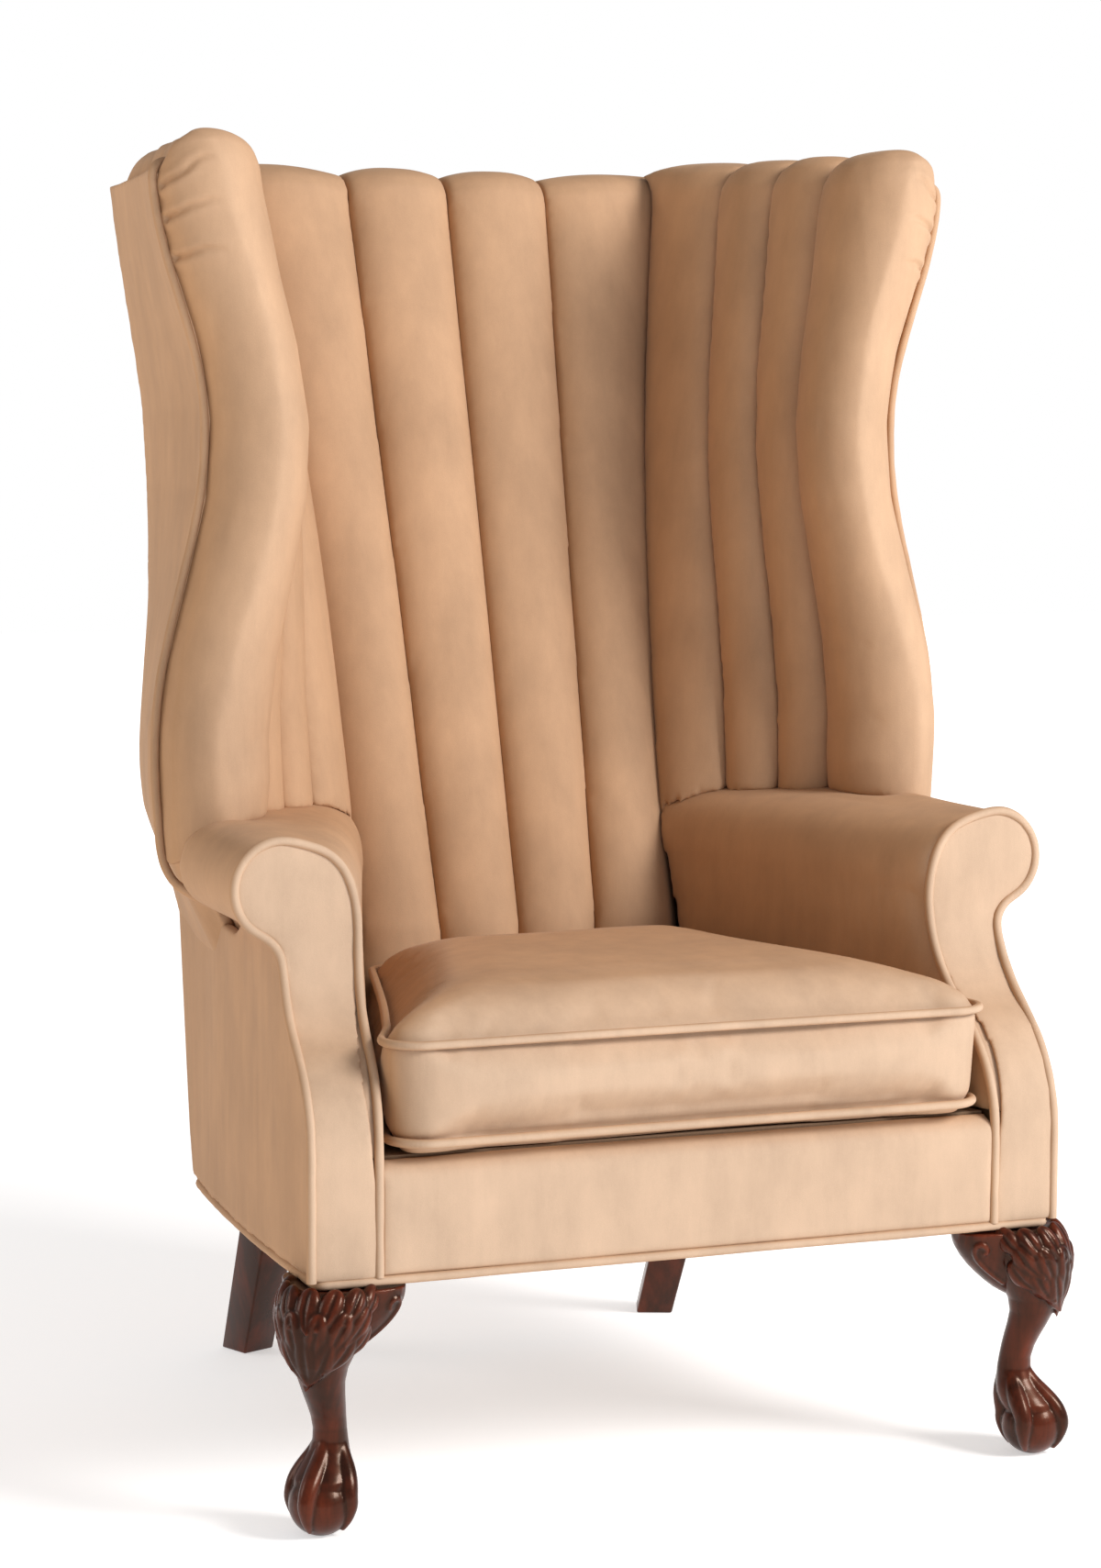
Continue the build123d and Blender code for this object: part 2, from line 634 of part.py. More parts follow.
def base_piping():
    """Piping round the bottom of the base."""
    inset = PANEL / 2
    right = [(side_x(0) - inset, inset), (side_x(BASE_DEPTH / 2) - inset, BASE_DEPTH / 2),
             (side_x(BASE_DEPTH) - inset, BASE_DEPTH - inset)]
    left = [(-x, y) for x, y in reversed(right)]
    corners = [BASE_FRONT_CORNER, BASE_DEPTH, BASE_REAR_CORNER]
    return closed_tube([(x, y, base_z(y)) for x, y in right + left], corners + corners[::-1], PIPING_RADIUS)


# Loose seat cushion

def cushion_route(inset, z):
    """Plan points of the cushion's edge at a height: corners with the sides drawn in between them."""
    rear_y = inside_back_y(DECK_HEIGHT) - BACK_CROWN - CUSHION_BACK_GAP
    length = rear_y - CUSHION_FRONT_Y
    taper = (CUSHION_REAR_HALF - CUSHION_FRONT_HALF) / length
    shift = inset * hypot(1.0, taper)

    def half_width(y):
        return CUSHION_FRONT_HALF + taper * (y - CUSHION_FRONT_Y) - shift

    front, rear = CUSHION_FRONT_Y + inset, rear_y - inset
    middle = (front + rear) / 2
    right = [(half_width(y), y) for y in (front, middle, rear)]
    right[1] = (right[1][0] - CUSHION_DRAWN, middle)
    left = [(-x, y) for x, y in reversed(right)]
    points = right + [(0.0, rear - CUSHION_DRAWN)] + left + [(0.0, front + CUSHION_DRAWN)]
    return [at_height(p, z) for p in points]


def cushion_corners(points, inset):
    """Fillet radii round the cushion: its four corners, and a slow bend where each side is drawn in."""
    radii = []
    for i, corner in enumerate(points):
        before, after = points[i - 1], points[(i + 1) % len(points)]
        arriving, leaving = Vector(*corner) - Vector(*before), Vector(*after) - Vector(*corner)
        turn = arriving.get_angle(leaving) * pi / 180
        radii.append(0.25 * min(arriving.length, leaving.length) / tan(turn / 2))
    radii[0] = radii[6] = max(CUSHION_FRONT_CORNER - inset, CUSHION_LEAST_CORNER)
    radii[2] = radii[4] = max(CUSHION_REAR_CORNER - inset, CUSHION_LEAST_CORNER)
    return radii


def cushion_face(inset, z):
    """Section of the cushion drawn in from its edge by an inset."""
    points = cushion_route(inset, z)
    return make_face(FilletPolyline(*points, radius=cushion_corners(points, inset), close=True))


def cushion_pieces():
    """The cushion's crowned top, boxing, bottom, core and two rows of piping."""
    edge = PIPING_RADIUS + 1.5
    rise = CUSHION_CREST - BOXING_HIGH
    top_steps = ((0.0, 0.0), (0.30, 7.0), (0.62, 26.0), (0.87, 62.0), (1.0, 104.0))
    top = loft([cushion_face(edge + inset, BOXING_HIGH + CLEARANCE + share * rise)
                for share, inset in top_steps], ruled=True)
    drop = BOXING_LOW - DECK_HEIGHT - CUSHION_SEAT_GAP
    bottom_steps = ((0.0, 0.0), (0.5, 12.0), (0.85, 30.0), (1.0, 52.0))
    bottom = loft([cushion_face(edge + inset, BOXING_LOW - CLEARANCE - share * (drop - CLEARANCE))
                   for share, inset in bottom_steps], ruled=True)
    height = BOXING_HIGH - BOXING_LOW
    outer = extrude(cushion_face(edge, BOXING_LOW), amount=height, dir=(0, 0, 1))
    inner = extrude(cushion_face(edge + BOXING, BOXING_LOW), amount=height, dir=(0, 0, 1))
    core = extrude(cushion_face(edge + BOXING + CLEARANCE, BOXING_LOW), amount=height, dir=(0, 0, 1))
    piping_inset = edge - PIPING_RADIUS - CLEARANCE
    routes = [cushion_route(piping_inset, z) for z in (BOXING_HIGH, BOXING_LOW)]
    piping = [closed_tube(route, cushion_corners(route, piping_inset), PIPING_RADIUS) for route in routes]
    return {
        "cushion_top": top,
        "cushion_boxing": outer - inner,
        "cushion_bottom": bottom,
        "cushion_core": core,
        "cushion_top_piping": piping[0],
        "cushion_bottom_piping": piping[1],
    }


# Legs

def front_leg():
    """Right cabriole leg: stub, swelling knee, ankle and ball foot, without its carving."""
    def ring(height, radius, share):
        x = FRONT_LEG_X + (FOOT_X - FRONT_LEG_X) * share
        y = FRONT_LEG_Y + (FOOT_Y - FRONT_LEG_Y) * share
        return Pos(x, y, height) * Circle(radius)

    top = base_z(2 * FRONT_LEG_Y) - PIPING_RADIUS - CLEARANCE
    fall = KNEE_HEIGHT - ANKLE_HEIGHT
    rings = [ring(top, KNEE_TOP_RADIUS, 0.45), ring(KNEE_HEIGHT, KNEE_RADIUS, 0.70),
             ring(KNEE_HEIGHT - 0.30 * fall, 0.74 * KNEE_RADIUS, 0.94),
             ring(KNEE_HEIGHT - 0.55 * fall, 0.51 * KNEE_RADIUS, 0.97),
             ring(KNEE_HEIGHT - 0.78 * fall, 1.12 * ANKLE_RADIUS, 0.72),
             ring(ANKLE_HEIGHT, ANKLE_RADIUS, 0.53), ring(1.8 * FOOT_RADIUS, 1.1 * ANKLE_RADIUS, 0.59),
             ring(1.2 * FOOT_RADIUS, 1.5 * ANKLE_RADIUS, 0.88), ring(FOOT_RADIUS, 1.15 * ANKLE_RADIUS, 0.95)]
    stub = Pos(FRONT_LEG_X, FRONT_LEG_Y, KNEE_HEIGHT) * extrude(Circle(LEG_NECK_RADIUS), LEG_TOP - KNEE_HEIGHT)
    ball = Pos(FOOT_X, FOOT_Y, FOOT_RADIUS * 0.9) * Sphere(FOOT_RADIUS)
    floor = block((-BASE_DEPTH, -BASE_DEPTH, -2 * FOOT_RADIUS), (BASE_DEPTH, BASE_DEPTH, 0.0))
    return loft(rings) + stub + (ball - floor)


def knee_brackets(leg):
    """Two shaped blocks under the base, one on each side of the right front leg's knee."""
    def ear(direction):
        top = base_z(0) - PIPING_RADIUS - CLEARANCE
        x, y = direction
        tip = (FRONT_LEG_X + x * BRACKET_REACH, FRONT_LEG_Y + y * BRACKET_REACH)
        hub = (FRONT_LEG_X, FRONT_LEG_Y)
        bend = between(hub, tip, 0.55)
        low = top - BRACKET_DROP
        face = outline(at_height(hub, top), at_height(tip, top), at_height(tip, top - BRACKET_WIDTH / 3),
                       (at_height(bend, top - BRACKET_DROP * 0.42), at_height(hub, low)))
        width_dir = (-y, x, 0)
        slab = extrude(face, amount=BRACKET_WIDTH / 2, dir=width_dir)
        other = extrude(face, amount=BRACKET_WIDTH / 2, dir=tuple(-c for c in width_dir))
        return slab + other - leg

    return [ear((-1.0, 0.0)), ear((0.0, 1.0))]


def rear_leg():
    """Right rear leg: square, turned a little inwards, upright in the frame and raked back below it."""
    sections = []
    for z, y, side in ((0.0, REAR_FOOT_Y, REAR_FOOT_SIDE), (BASE_REAR_HEIGHT, REAR_BEND_Y, REAR_BEND_SIDE),
                       (LEG_TOP, REAR_LEG_TOP_Y, REAR_LEG_TOP_SIDE)):
        sections.append(Pos(REAR_LEG_X, y, z) * Rot(0, 0, REAR_LEG_TURN) * Rectangle(side, side))
    return loft(sections, ruled=True)


def leg_bolts():
    """Hanger bolts between the legs and the seat frame."""
    low = LEG_TOP - BOLT_LENGTH / 2
    places = [(FRONT_LEG_X, FRONT_LEG_Y), (REAR_LEG_X, REAR_LEG_TOP_Y)]
    bolts = []
    for x, y in places:
        for side in (1, -1):
            bolts.append(Pos(side * x, y, low + BOLT_LENGTH / 2) * Cylinder(BOLT_RADIUS, BOLT_LENGTH))
    return bolts


# Wooden frame

FRONT_RAIL_Y = PANEL + CLEARANCE
REAR_RAIL_Y = REAR_LEG_TOP_Y - RAIL / 2


def side_rail_line():
    """Plan points of the front and rear ends of the right side rail's outer face."""
    inset = PANEL + 2 * CLEARANCE
    y0, y1 = FRONT_RAIL_Y + RAIL, REAR_RAIL_Y
    return (side_x(y0) - inset - PANEL, y0), (side_x(y1) - inset, y1)


def side_rail():
    """Right seat rail, along the outside arm."""
    front, rear = side_rail_line()
    inner = [(x - RAIL, y) for x, y in (rear, front)]
    return plan_slab([front, rear] + inner, LEG_TOP, RAIL_TOP)


def front_rail():
    """Seat rail across the front."""
    half = side_x(0) - 3 * PANEL
    return block((-half, FRONT_RAIL_Y, LEG_TOP), (half, FRONT_RAIL_Y + RAIL, RAIL_TOP))


def rear_rail():
    """Seat rail across the back."""
    half = BACK_PANEL_X - CLEARANCE
    return block((-half, REAR_RAIL_Y, LEG_TOP), (half, REAR_RAIL_Y + RAIL, RAIL_TOP))


def corner_blocks():
    """Blocks glued inside the four corners of the seat frame."""
    front, rear = side_rail_line()
    foot = between(front, rear, CORNER_BLOCK / (rear[1] - front[1]))
    rear_x = BACK_PANEL_X - CLEARANCE
    front_x = front[0] - RAIL
    shapes = [[(front_x - CORNER_BLOCK, front[1]), (front_x, front[1]), (foot[0] - RAIL, foot[1])],
              [(rear_x - CORNER_BLOCK, REAR_RAIL_Y), (rear_x, REAR_RAIL_Y),
               (rear_x, REAR_RAIL_Y - CORNER_BLOCK)]]
    blocks = []
    for side in (1, -1):
        for shape in shapes:
            blocks.append(plan_slab([(side * x, y) for x, y in shape], LEG_TOP, RAIL_TOP))
    return blocks


def post_x():
    """Middle of the right arm post, against the outside arm."""
    rear_y = ARM_FRONT_Y + FACING + 2 * PANEL + POST_DEPTH
    return side_x(rear_y) - PANEL - 2 * CLEARANCE - POST_WIDTH / 2


def arm_post():
    """Right front arm post, cut to the facing's S and let into the arm."""
    x = post_x()
    gap = FACING + 2 * PANEL
    z0, z1 = RAIL_TOP + CLEARANCE, ARM_SHOULDER - ARM_BOARD
    heights = [z0, SWEEP_LOW, (SWEEP_LOW + SWEEP_HIGH) / 2, z1]
    front = [(facing_y(z) + gap, z) for z in heights]
    rear = [(y + POST_DEPTH, z) for y, z in reversed(front)]
    return side_slab(front + rear, x - POST_WIDTH / 2, x + POST_WIDTH / 2)


def arm_board():
    """Right arm board, from the arm post back to the back side panel."""
    z = ARM_SHOULDER - ARM_BOARD
    y0, y1 = ARM_FRONT_Y + FACING + PANEL, webbing_y(z) + CLEARANCE
    x0 = post_x()
    x1 = BACK_PANEL_X + RAIL / 2
    half = ARM_BOARD_WIDTH / 2
    return plan_slab([(x0 - half, y0), (x0 + half, y0), (x1 + half, y1), (x1 - half, y1)], z, z + ARM_BOARD)


def back_panel():
    """Right side of the back frame, cut from board between the inside and outside back."""
    low, high = LEG_TOP, SHOULDER_HEIGHT - 2 * CLEARANCE
    step = RAIL_TOP + CLEARANCE
    rear_gap = PANEL + CLEARANCE
    front = [(webbing_y(z) + WEB_THICKNESS, z) for z in (high, ARM_SHOULDER)]
    rear = [(outside_back_y(z) - rear_gap, z) for z in (low, high)]
    profile = [(REAR_RAIL_Y, low)] + rear + front + [(REAR_RAIL_Y, step)]
    return side_slab(profile, BACK_PANEL_X, BACK_PANEL_X + RAIL)


def back_rail(z):
    """Rail between the back side panels with its underside at height z."""
    half = BACK_PANEL_X - CLEARANCE
    top = z + BACK_RAIL_HEIGHT
    front = webbing_y(top) + WEB_THICKNESS + CLEARANCE
    rear = min(front + RAIL, outside_back_y(z) - PANEL - CLEARANCE)
    return block((-half, front, z), (half, rear, top))


def wing_upright():
    """Right wing upright, shaped to the wing between its lining and outside cover."""
    sections = []
    for z in wing_heights(ARM_TOP + CLEARANCE, SHOULDER_HEIGHT - CLEARANCE):
        y0 = max(wing_backing(z)[-1][1], WING_FRONT_Y + WING_PAD) + 4 * CLEARANCE
        y1 = y0 + WING_UPRIGHT_DEPTH
        outer0, outer1 = inner_outer_point(z, y0), inner_outer_point(z, y1)
        thick = RAIL
        corners = [outer0, outer1, (outer1[0] - thick, y1), (outer0[0] - thick, y0)]
        sections.append(make_face(Polyline(*[at_height(p, z) for p in corners], close=True)))
    return loft(sections, ruled=True)


def wing_rail():
    """Right wing top rail, from the wing upright to the back side panel."""
    z1 = SHOULDER_HEIGHT - CLEARANCE
    z0 = z1 - WING_RAIL_HEIGHT
    y0 = max(wing_backing(z1)[-1][1], WING_FRONT_Y + WING_PAD) + WING_UPRIGHT_DEPTH + 8 * CLEARANCE
    y1 = outside_back_y(z0) - PANEL - 2 * CLEARANCE
    sections = []
    for z in (z0, z1):
        ends = [inner_outer_point(z, y) for y in (y0, y1)]
        outer0, outer1 = [(x - 4 * CLEARANCE, y) for x, y in ends]
        corners = [outer0, outer1, (outer1[0] - RAIL, y1), (outer0[0] - RAIL, y0)]
        sections.append(make_face(Polyline(*[at_height(p, z) for p in corners], close=True)))
    return loft(sections, ruled=True)


# Seat suspension and linings

def seat_deck():
    """Padded deck on the springs, between the arms."""
    front_y = RAIL + CLEARANCE
    rear_y = inside_back_y(DECK_HEIGHT) - BACK_CROWN - CLEARANCE
    right = [(arm_inner(y) - arm_lean(y) - CLEARANCE, y) for y in (front_y, rear_y)]
    left = [(-x, y) for x, y in reversed(right)]
    return plan_slab(right + left, RAIL_TOP + 2 * SPRING_WIRE + 2 * CLEARANCE, DECK_HEIGHT)


def seat_springs():
    """Zigzag springs laid from the front rail to the rear rail."""
    springs = []
    z = RAIL_TOP + SPRING_WIRE + CLEARANCE
    front, rear = FRONT_RAIL_Y + RAIL - 2 * SPRING_WIRE, REAR_RAIL_Y + RAIL / 2
    pitch = (rear - front) / (SPRING_BENDS + 1)
    reach = CORNER_SEAM_SEAT - 2 * SPRING_LOOP
    for i in range(SPRING_COUNT):
        x = -reach + 2 * reach * i / (SPRING_COUNT - 1)
        points = [(x, front, z)]
        for bend in range(SPRING_BENDS):
            side = SPRING_LOOP if bend % 2 else -SPRING_LOOP
            points.append((x + side, front + (bend + 1) * pitch, z))
        points.append((x, rear, z))
        springs.append(tube(points, SPRING_WIRE))
    return springs


def back_webbing():
    """Webbing across the back between the side panels."""
    strips = []
    half = BACK_PANEL_X + RAIL
    low, high = ARM_SHOULDER + WEB_WIDTH, SHOULDER_HEIGHT - 2 * WEB_WIDTH
    for i in range(WEB_COUNT):
        z0 = low + (high - low) * i / (WEB_COUNT - 1)
        z1 = z0 + WEB_WIDTH
        profile = [(webbing_y(z0), z0), (webbing_y(z1), z1),
                   (webbing_y(z1) + WEB_THICKNESS, z1), (webbing_y(z0) + WEB_THICKNESS, z0)]
        strips.append(side_slab(profile, -half, half))
    return strips


def dust_cover(legs):
    """Cloth tacked under the seat frame, with openings round the legs."""
    inset = PANEL + 2 * CLEARANCE
    rear_y = outside_back_y(base_z(BASE_DEPTH)) - inset
    points = [(side_x(inset) - 3 * inset, inset), (side_x(BASE_DEPTH / 2) - inset, BASE_DEPTH / 2),
              (side_x(BASE_DEPTH) - inset, rear_y - inset)]
    points = points + [(-x, y) for x, y in reversed(points)]
    z = LEG_TOP - CLEARANCE
    return plan_slab(points, z - LINING, z) - legs


# Assembly

def build():
    """All pieces of the chair by name, in the working frame."""
    pieces = {}

    def both(name, shape):
        pieces["left_" + name] = mirrored(shape)
        pieces["right_" + name] = shape

    bolts = leg_bolts()
    leg = front_leg()
    back_leg = rear_leg()
    brackets = knee_brackets(leg)
    legs = [leg, mirrored(leg), back_leg, mirrored(back_leg)]
    both("front_leg", leg - bolts)
    both("rear_leg", back_leg - bolts)
    pieces["knee_brackets"] = brackets + [mirrored(ear) for ear in brackets]
    pieces["leg_bolts"] = bolts

    pieces["front_rail"] = front_rail() - bolts
    pieces["rear_rail"] = rear_rail() - bolts
    both("side_rail", side_rail() - bolts)
    pieces["corner_blocks"] = [piece - bolts for piece in corner_blocks()]
    post, board = arm_post(), arm_board()
    both("arm_post", post)
    both("arm_board", board)
    panel = back_panel()
    both("back_panel", panel)
    pieces["back_top_rail"] = back_rail(SHOULDER_HEIGHT - BACK_RAIL_HEIGHT - CLEARANCE)
    pieces["back_lower_rail"] = back_rail(LOWER_RAIL_Z)
    both("wing_upright", wing_upright() - outside_wing())
    both("wing_rail", wing_rail())

    pieces["seat_springs"] = seat_springs()
    pieces["seat_deck"] = seat_deck()
    pieces["back_webbing"] = back_webbing()
    pieces["dust_cover"] = dust_cover(legs)

    back_flutes = [back_flute(index) for index in range(4)]
    for index in range(4):
        pieces["back_flute_%d" % (index + 1)] = back_flutes[index]
    outer_wing = outside_wing()
    welt = facing_piping()
    arm = largest(arm_pad_block() - [back_flutes[3], welt])
    wing_flutes = [largest(wing_flute(index) - [arm, outer_wing, back_flutes[3]]) for index in range(3)]
    for index in range(3):
        both("wing_flute_%d" % (index + 1), wing_flutes[index])
    both("wing_roll", largest(wing_roll() - [outer_wing, wing_flutes[2]]))
    both("arm_pad", arm - [post, board])
    both("arm_facing", arm_facing() - welt)
    both("outside_arm", outside_arm())
    both("outside_wing", outer_wing)
    pieces["outside_back"] = outside_back()
    pieces["front_border"] = front_border() - [welt, mirrored(welt)]
    both("facing_piping", welt)
    both("wing_piping", wing_piping())
    pieces["base_piping"] = base_piping()
    pieces.update(cushion_pieces())
    return pieces


def largest(shape):
    """The biggest solid of a shape, without the slivers that a cut leaves."""
    return max(shape.solids(), key=lambda solid: solid.volume)


def solids_of(shape):
    """The separate solids of a piece."""
    members = shape if isinstance(shape, list) else [shape]
    return [solid for member in members for solid in member.solids()]


def main():
    """Build the pieces, centre them over the origin and write one file for each."""
    os.makedirs("parts", exist_ok=True)
    groups = {name: solids_of(shape) for name, shape in build().items()}
    box = Compound([solid for solids in groups.values() for solid in solids]).bounding_box()
    shift = Pos(-(box.min.X + box.max.X) / 2, -(box.min.Y + box.max.Y) / 2, -box.min.Z)
    print("depth shift %.3f, height shift %.3f" % (shift.position.Y, shift.position.Z))
    for name, solids in groups.items():
        placed = [shift * solid for solid in solids]
        export_step(placed[0] if len(placed) == 1 else Compound(placed), "parts/%s.step" % name)


main()
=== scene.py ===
"""Looks of a tall wing armchair with a channelled back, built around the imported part, in metres."""

import json
import logging
import math
import time
from contextlib import contextmanager
from dataclasses import dataclass, replace
from enum import Enum
from typing import Dict, Iterator, List, Optional, Sequence, Tuple

import bpy
import numpy as np
from mathutils import Matrix, Vector, noise


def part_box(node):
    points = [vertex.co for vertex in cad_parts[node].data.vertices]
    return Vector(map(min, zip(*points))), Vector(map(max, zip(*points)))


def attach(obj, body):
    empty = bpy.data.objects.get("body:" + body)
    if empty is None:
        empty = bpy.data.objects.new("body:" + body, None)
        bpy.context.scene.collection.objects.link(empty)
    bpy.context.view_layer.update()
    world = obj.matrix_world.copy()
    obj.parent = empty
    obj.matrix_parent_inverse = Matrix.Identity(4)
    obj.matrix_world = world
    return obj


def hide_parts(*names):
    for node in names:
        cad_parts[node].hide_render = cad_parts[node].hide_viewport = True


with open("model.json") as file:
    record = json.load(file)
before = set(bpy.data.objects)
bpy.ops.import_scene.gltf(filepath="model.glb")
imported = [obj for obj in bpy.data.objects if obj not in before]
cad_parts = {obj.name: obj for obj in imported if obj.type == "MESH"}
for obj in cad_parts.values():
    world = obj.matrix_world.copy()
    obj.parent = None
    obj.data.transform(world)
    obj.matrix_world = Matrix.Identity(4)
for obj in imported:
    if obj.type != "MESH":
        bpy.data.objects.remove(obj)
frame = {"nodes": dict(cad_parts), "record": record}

Point = Tuple[float, float, float]
Colour = Tuple[float, float, float]
Pair = Tuple[float, float]
Piece = bpy.types.Object
Socket = bpy.types.NodeSocket
Made = Tuple[Piece, str, Optional[float]]

log = logging.getLogger("armchair")

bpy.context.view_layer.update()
BASE_FRONT_Y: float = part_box("front_border")[0].y


class Side(Enum):
    """The chair's two sides, as seen from the front."""

    LEFT = "left"
    RIGHT = "right"

    @property
    def sign(self) -> int:
        """Direction of the side along X."""
        return 1 if self is Side.RIGHT else -1

    def node(self, name: str) -> str:
        """Name of a CAD node on this side."""
        return f"{self.value}_{name}"


class Body(Enum):
    """The bodies that the pieces ride on."""

    CHAIR = "chair"
    CUSHION = "cushion"


class Slot(Enum):
    """The record's material slots."""

    VELVET = "velvet"
    MAHOGANY = "mahogany"
    FRAME_WOOD = "frame_wood"
    STEEL = "steel"
    WEBBING = "webbing"
    LINING = "lining"
    FOAM = "foam"


class NodeDesk:
    """A new material with its nodes, wired by name."""

    def __init__(self, name: str) -> None:
        """Starts a material with a principled shader.

        Args:
            name: Name of the material.
        """
        self.material = bpy.data.materials.new(name)
        self.material.use_nodes = True
        self.tree = self.material.node_tree
        self.shader = self.tree.nodes["Principled BSDF"]

    def add(self, kind: str, **inputs: object) -> bpy.types.Node:
        """Adds a node and sets or links its inputs.

        Args:
            kind: Blender's name for the node type.
            inputs: Values or output sockets, by input name with spaces as underscores.

        Returns:
            The new node.
        """
        node = self.tree.nodes.new(kind)
        for key, value in inputs.items():
            self.put(node.inputs[key.replace("_", " ")], value)
        return node

    def put(self, socket: Socket, value: object) -> None:
        """Links an output socket to an input, or sets its value."""
        if isinstance(value, Socket):
            self.tree.links.new(value, socket)
        else:
            socket.default_value = value

    def shade(self, **inputs: object) -> None:
        """Sets or links inputs of the principled shader, by name."""
        for key, value in inputs.items():
            self.put(self.shader.inputs[key.replace("_", " ")], value)

    def place(self, scale: Point = (1.0, 1.0, 1.0)) -> Socket:
        """Object coordinates, stretched.

        Args:
            scale: Stretch along each axis.

        Returns:
            The vector socket.
        """
        source = self.add("ShaderNodeTexCoord")
        mapping = self.add("ShaderNodeMapping", Vector=source.outputs["Object"], Scale=scale)
        return mapping.outputs["Vector"]

    def cloud(self, place: Socket, scale: float, detail: float, rough: float = 0.5) -> Socket:
        """Noise value at a place.

        Args:
            place: Vector socket.
            scale: Noise scale.
            detail: Noise octaves.
            rough: Weight of the finer octaves.

        Returns:
            The value socket.
        """
        node = self.add("ShaderNodeTexNoise", Vector=place, Scale=scale, Detail=detail, Roughness=rough)
        return node.outputs["Fac"]

    def math(self, operation: str, first: object, second: object) -> Socket:
        """Result of a sum on two values or sockets."""
        node = self.tree.nodes.new("ShaderNodeMath")
        node.operation = operation
        self.put(node.inputs[0], first)
        self.put(node.inputs[1], second)
        return node.outputs["Value"]

    def ramp(self, value: Socket, stops: Sequence[Tuple[float, Colour]]) -> Socket:
        """Colour along a ramp.

        Args:
            value: Value socket.
            stops: Positions and colours, in order.

        Returns:
            The colour socket.
        """
        node = self.add("ShaderNodeValToRGB", Fac=value)
        elements = node.color_ramp.elements
        while len(elements) < len(stops):
            elements.new(1.0)
        for element, (position, colour) in zip(elements, stops):
            element.position = position
            element.color = (*colour, 1.0)
        return node.outputs["Color"]

    def vector(self, operation: str, *values: object) -> bpy.types.Node:
        """Node with the result of a sum on vectors or sockets."""
        node = self.tree.nodes.new("ShaderNodeVectorMath")
        node.operation = operation
        for socket, value in zip(node.inputs, values):
            self.put(socket, value)
        return node

    def weighed(self, *parts: Tuple[object, float]) -> Socket:
        """Sum of values, each times its weight."""
        total, *rest = [self.math("MULTIPLY", value, weight) for value, weight in parts]
        for value in rest:
            total = self.math("ADD", total, value)
        return total

    def relief(self, height: Socket, strength: float, distance: float) -> None:
        """Bumps the surface by a height."""
        node = self.add("ShaderNodeBump", Strength=strength, Distance=distance, Height=height)
        self.shade(Normal=node.outputs["Normal"])


@dataclass(frozen=True)
class Velvet:
    """Brushed velvet: a soft pile with streaks down it, painted paler where it faces forward and a little
    right and deeper further back in the chair, as painted light and shade.
    """

    name: str = "tan_velvet"
    deep: Colour = (0.455, 0.245, 0.118)
    pale: Colour = (0.545, 0.384, 0.268)
    # The way the painted light comes from: faces turned towards it come out paler.
    painted_light_way: Point = (0.25, -0.96, 0.1)
    shaded_share: float = 0.45
    shaded_y: float = 0.0
    fully_lit_y: float = -0.26
    streak_stretch: Point = (38.0, 38.0, 6.0)
    hand_stretch: Point = (1.0, 1.0, 0.7)
    hand_scale: float = 11.0
    pile_scale: float = 1150.0
    streak_weight: float = 0.3
    hand_weight: float = 0.55
    pile_weight: float = 0.15
    contrast: float = 0.9
    least: float = 0.55
    sheen: float = 0.12
    roughness: float = 0.8

    def tone(self, desk: NodeDesk) -> Socket:
        """Colour between deep and pale as painted light and shade: paler where a spot faces the painted
        light, deeper further back in the chair.

        Args:
            desk: Material being made.

        Returns:
            The colour socket.
        """
        # Painted light and shade: spots turned forward and a little right come out paler, and spots further
        # back in the chair deeper.
        geometry = desk.add("ShaderNodeNewGeometry")
        facing = desk.vector("DOT_PRODUCT", geometry.outputs["Normal"], self.painted_light_way)
        split = desk.add("ShaderNodeSeparateXYZ", Vector=desk.place())
        ahead = desk.add("ShaderNodeMapRange", Value=split.outputs["Y"], From_Min=self.shaded_y,
                         From_Max=self.fully_lit_y, To_Min=self.shaded_share, To_Max=1.0)
        painted_light = desk.math("MAXIMUM", facing.outputs["Value"], 0.0)
        painted_light = desk.math("MULTIPLY", painted_light, ahead.outputs["Result"])
        return desk.ramp(painted_light, ((0.05, self.deep), (0.95, self.pale)))

    def material(self) -> bpy.types.Material:
        """The finish as a material."""
        desk = NodeDesk(self.name)
        streaks = desk.cloud(desk.place(self.streak_stretch), 1.0, 5.0, 0.66)
        hand = desk.cloud(desk.place(self.hand_stretch), self.hand_scale, 5.0, 0.62)
        pile = desk.cloud(desk.place(), self.pile_scale, 2.0)
        grained = desk.weighed((streaks, self.streak_weight), (hand, self.hand_weight),
                               (pile, self.pile_weight))
        shaded = desk.vector("SCALE", self.tone(desk))
        light = desk.math("ADD", desk.math("MULTIPLY", grained, self.contrast), self.least)
        desk.put(shaded.inputs["Scale"], light)
        desk.shade(Base_Color=shaded.outputs["Vector"], Roughness=self.roughness, Sheen_Weight=self.sheen,
                   Sheen_Roughness=0.5, Sheen_Tint=(1.0, 0.9, 0.8, 1.0), Specular_IOR_Level=0.25)
        desk.relief(desk.math("ADD", pile, desk.math("MULTIPLY", streaks, 0.6)), 0.22, 0.0007)
        return desk.material


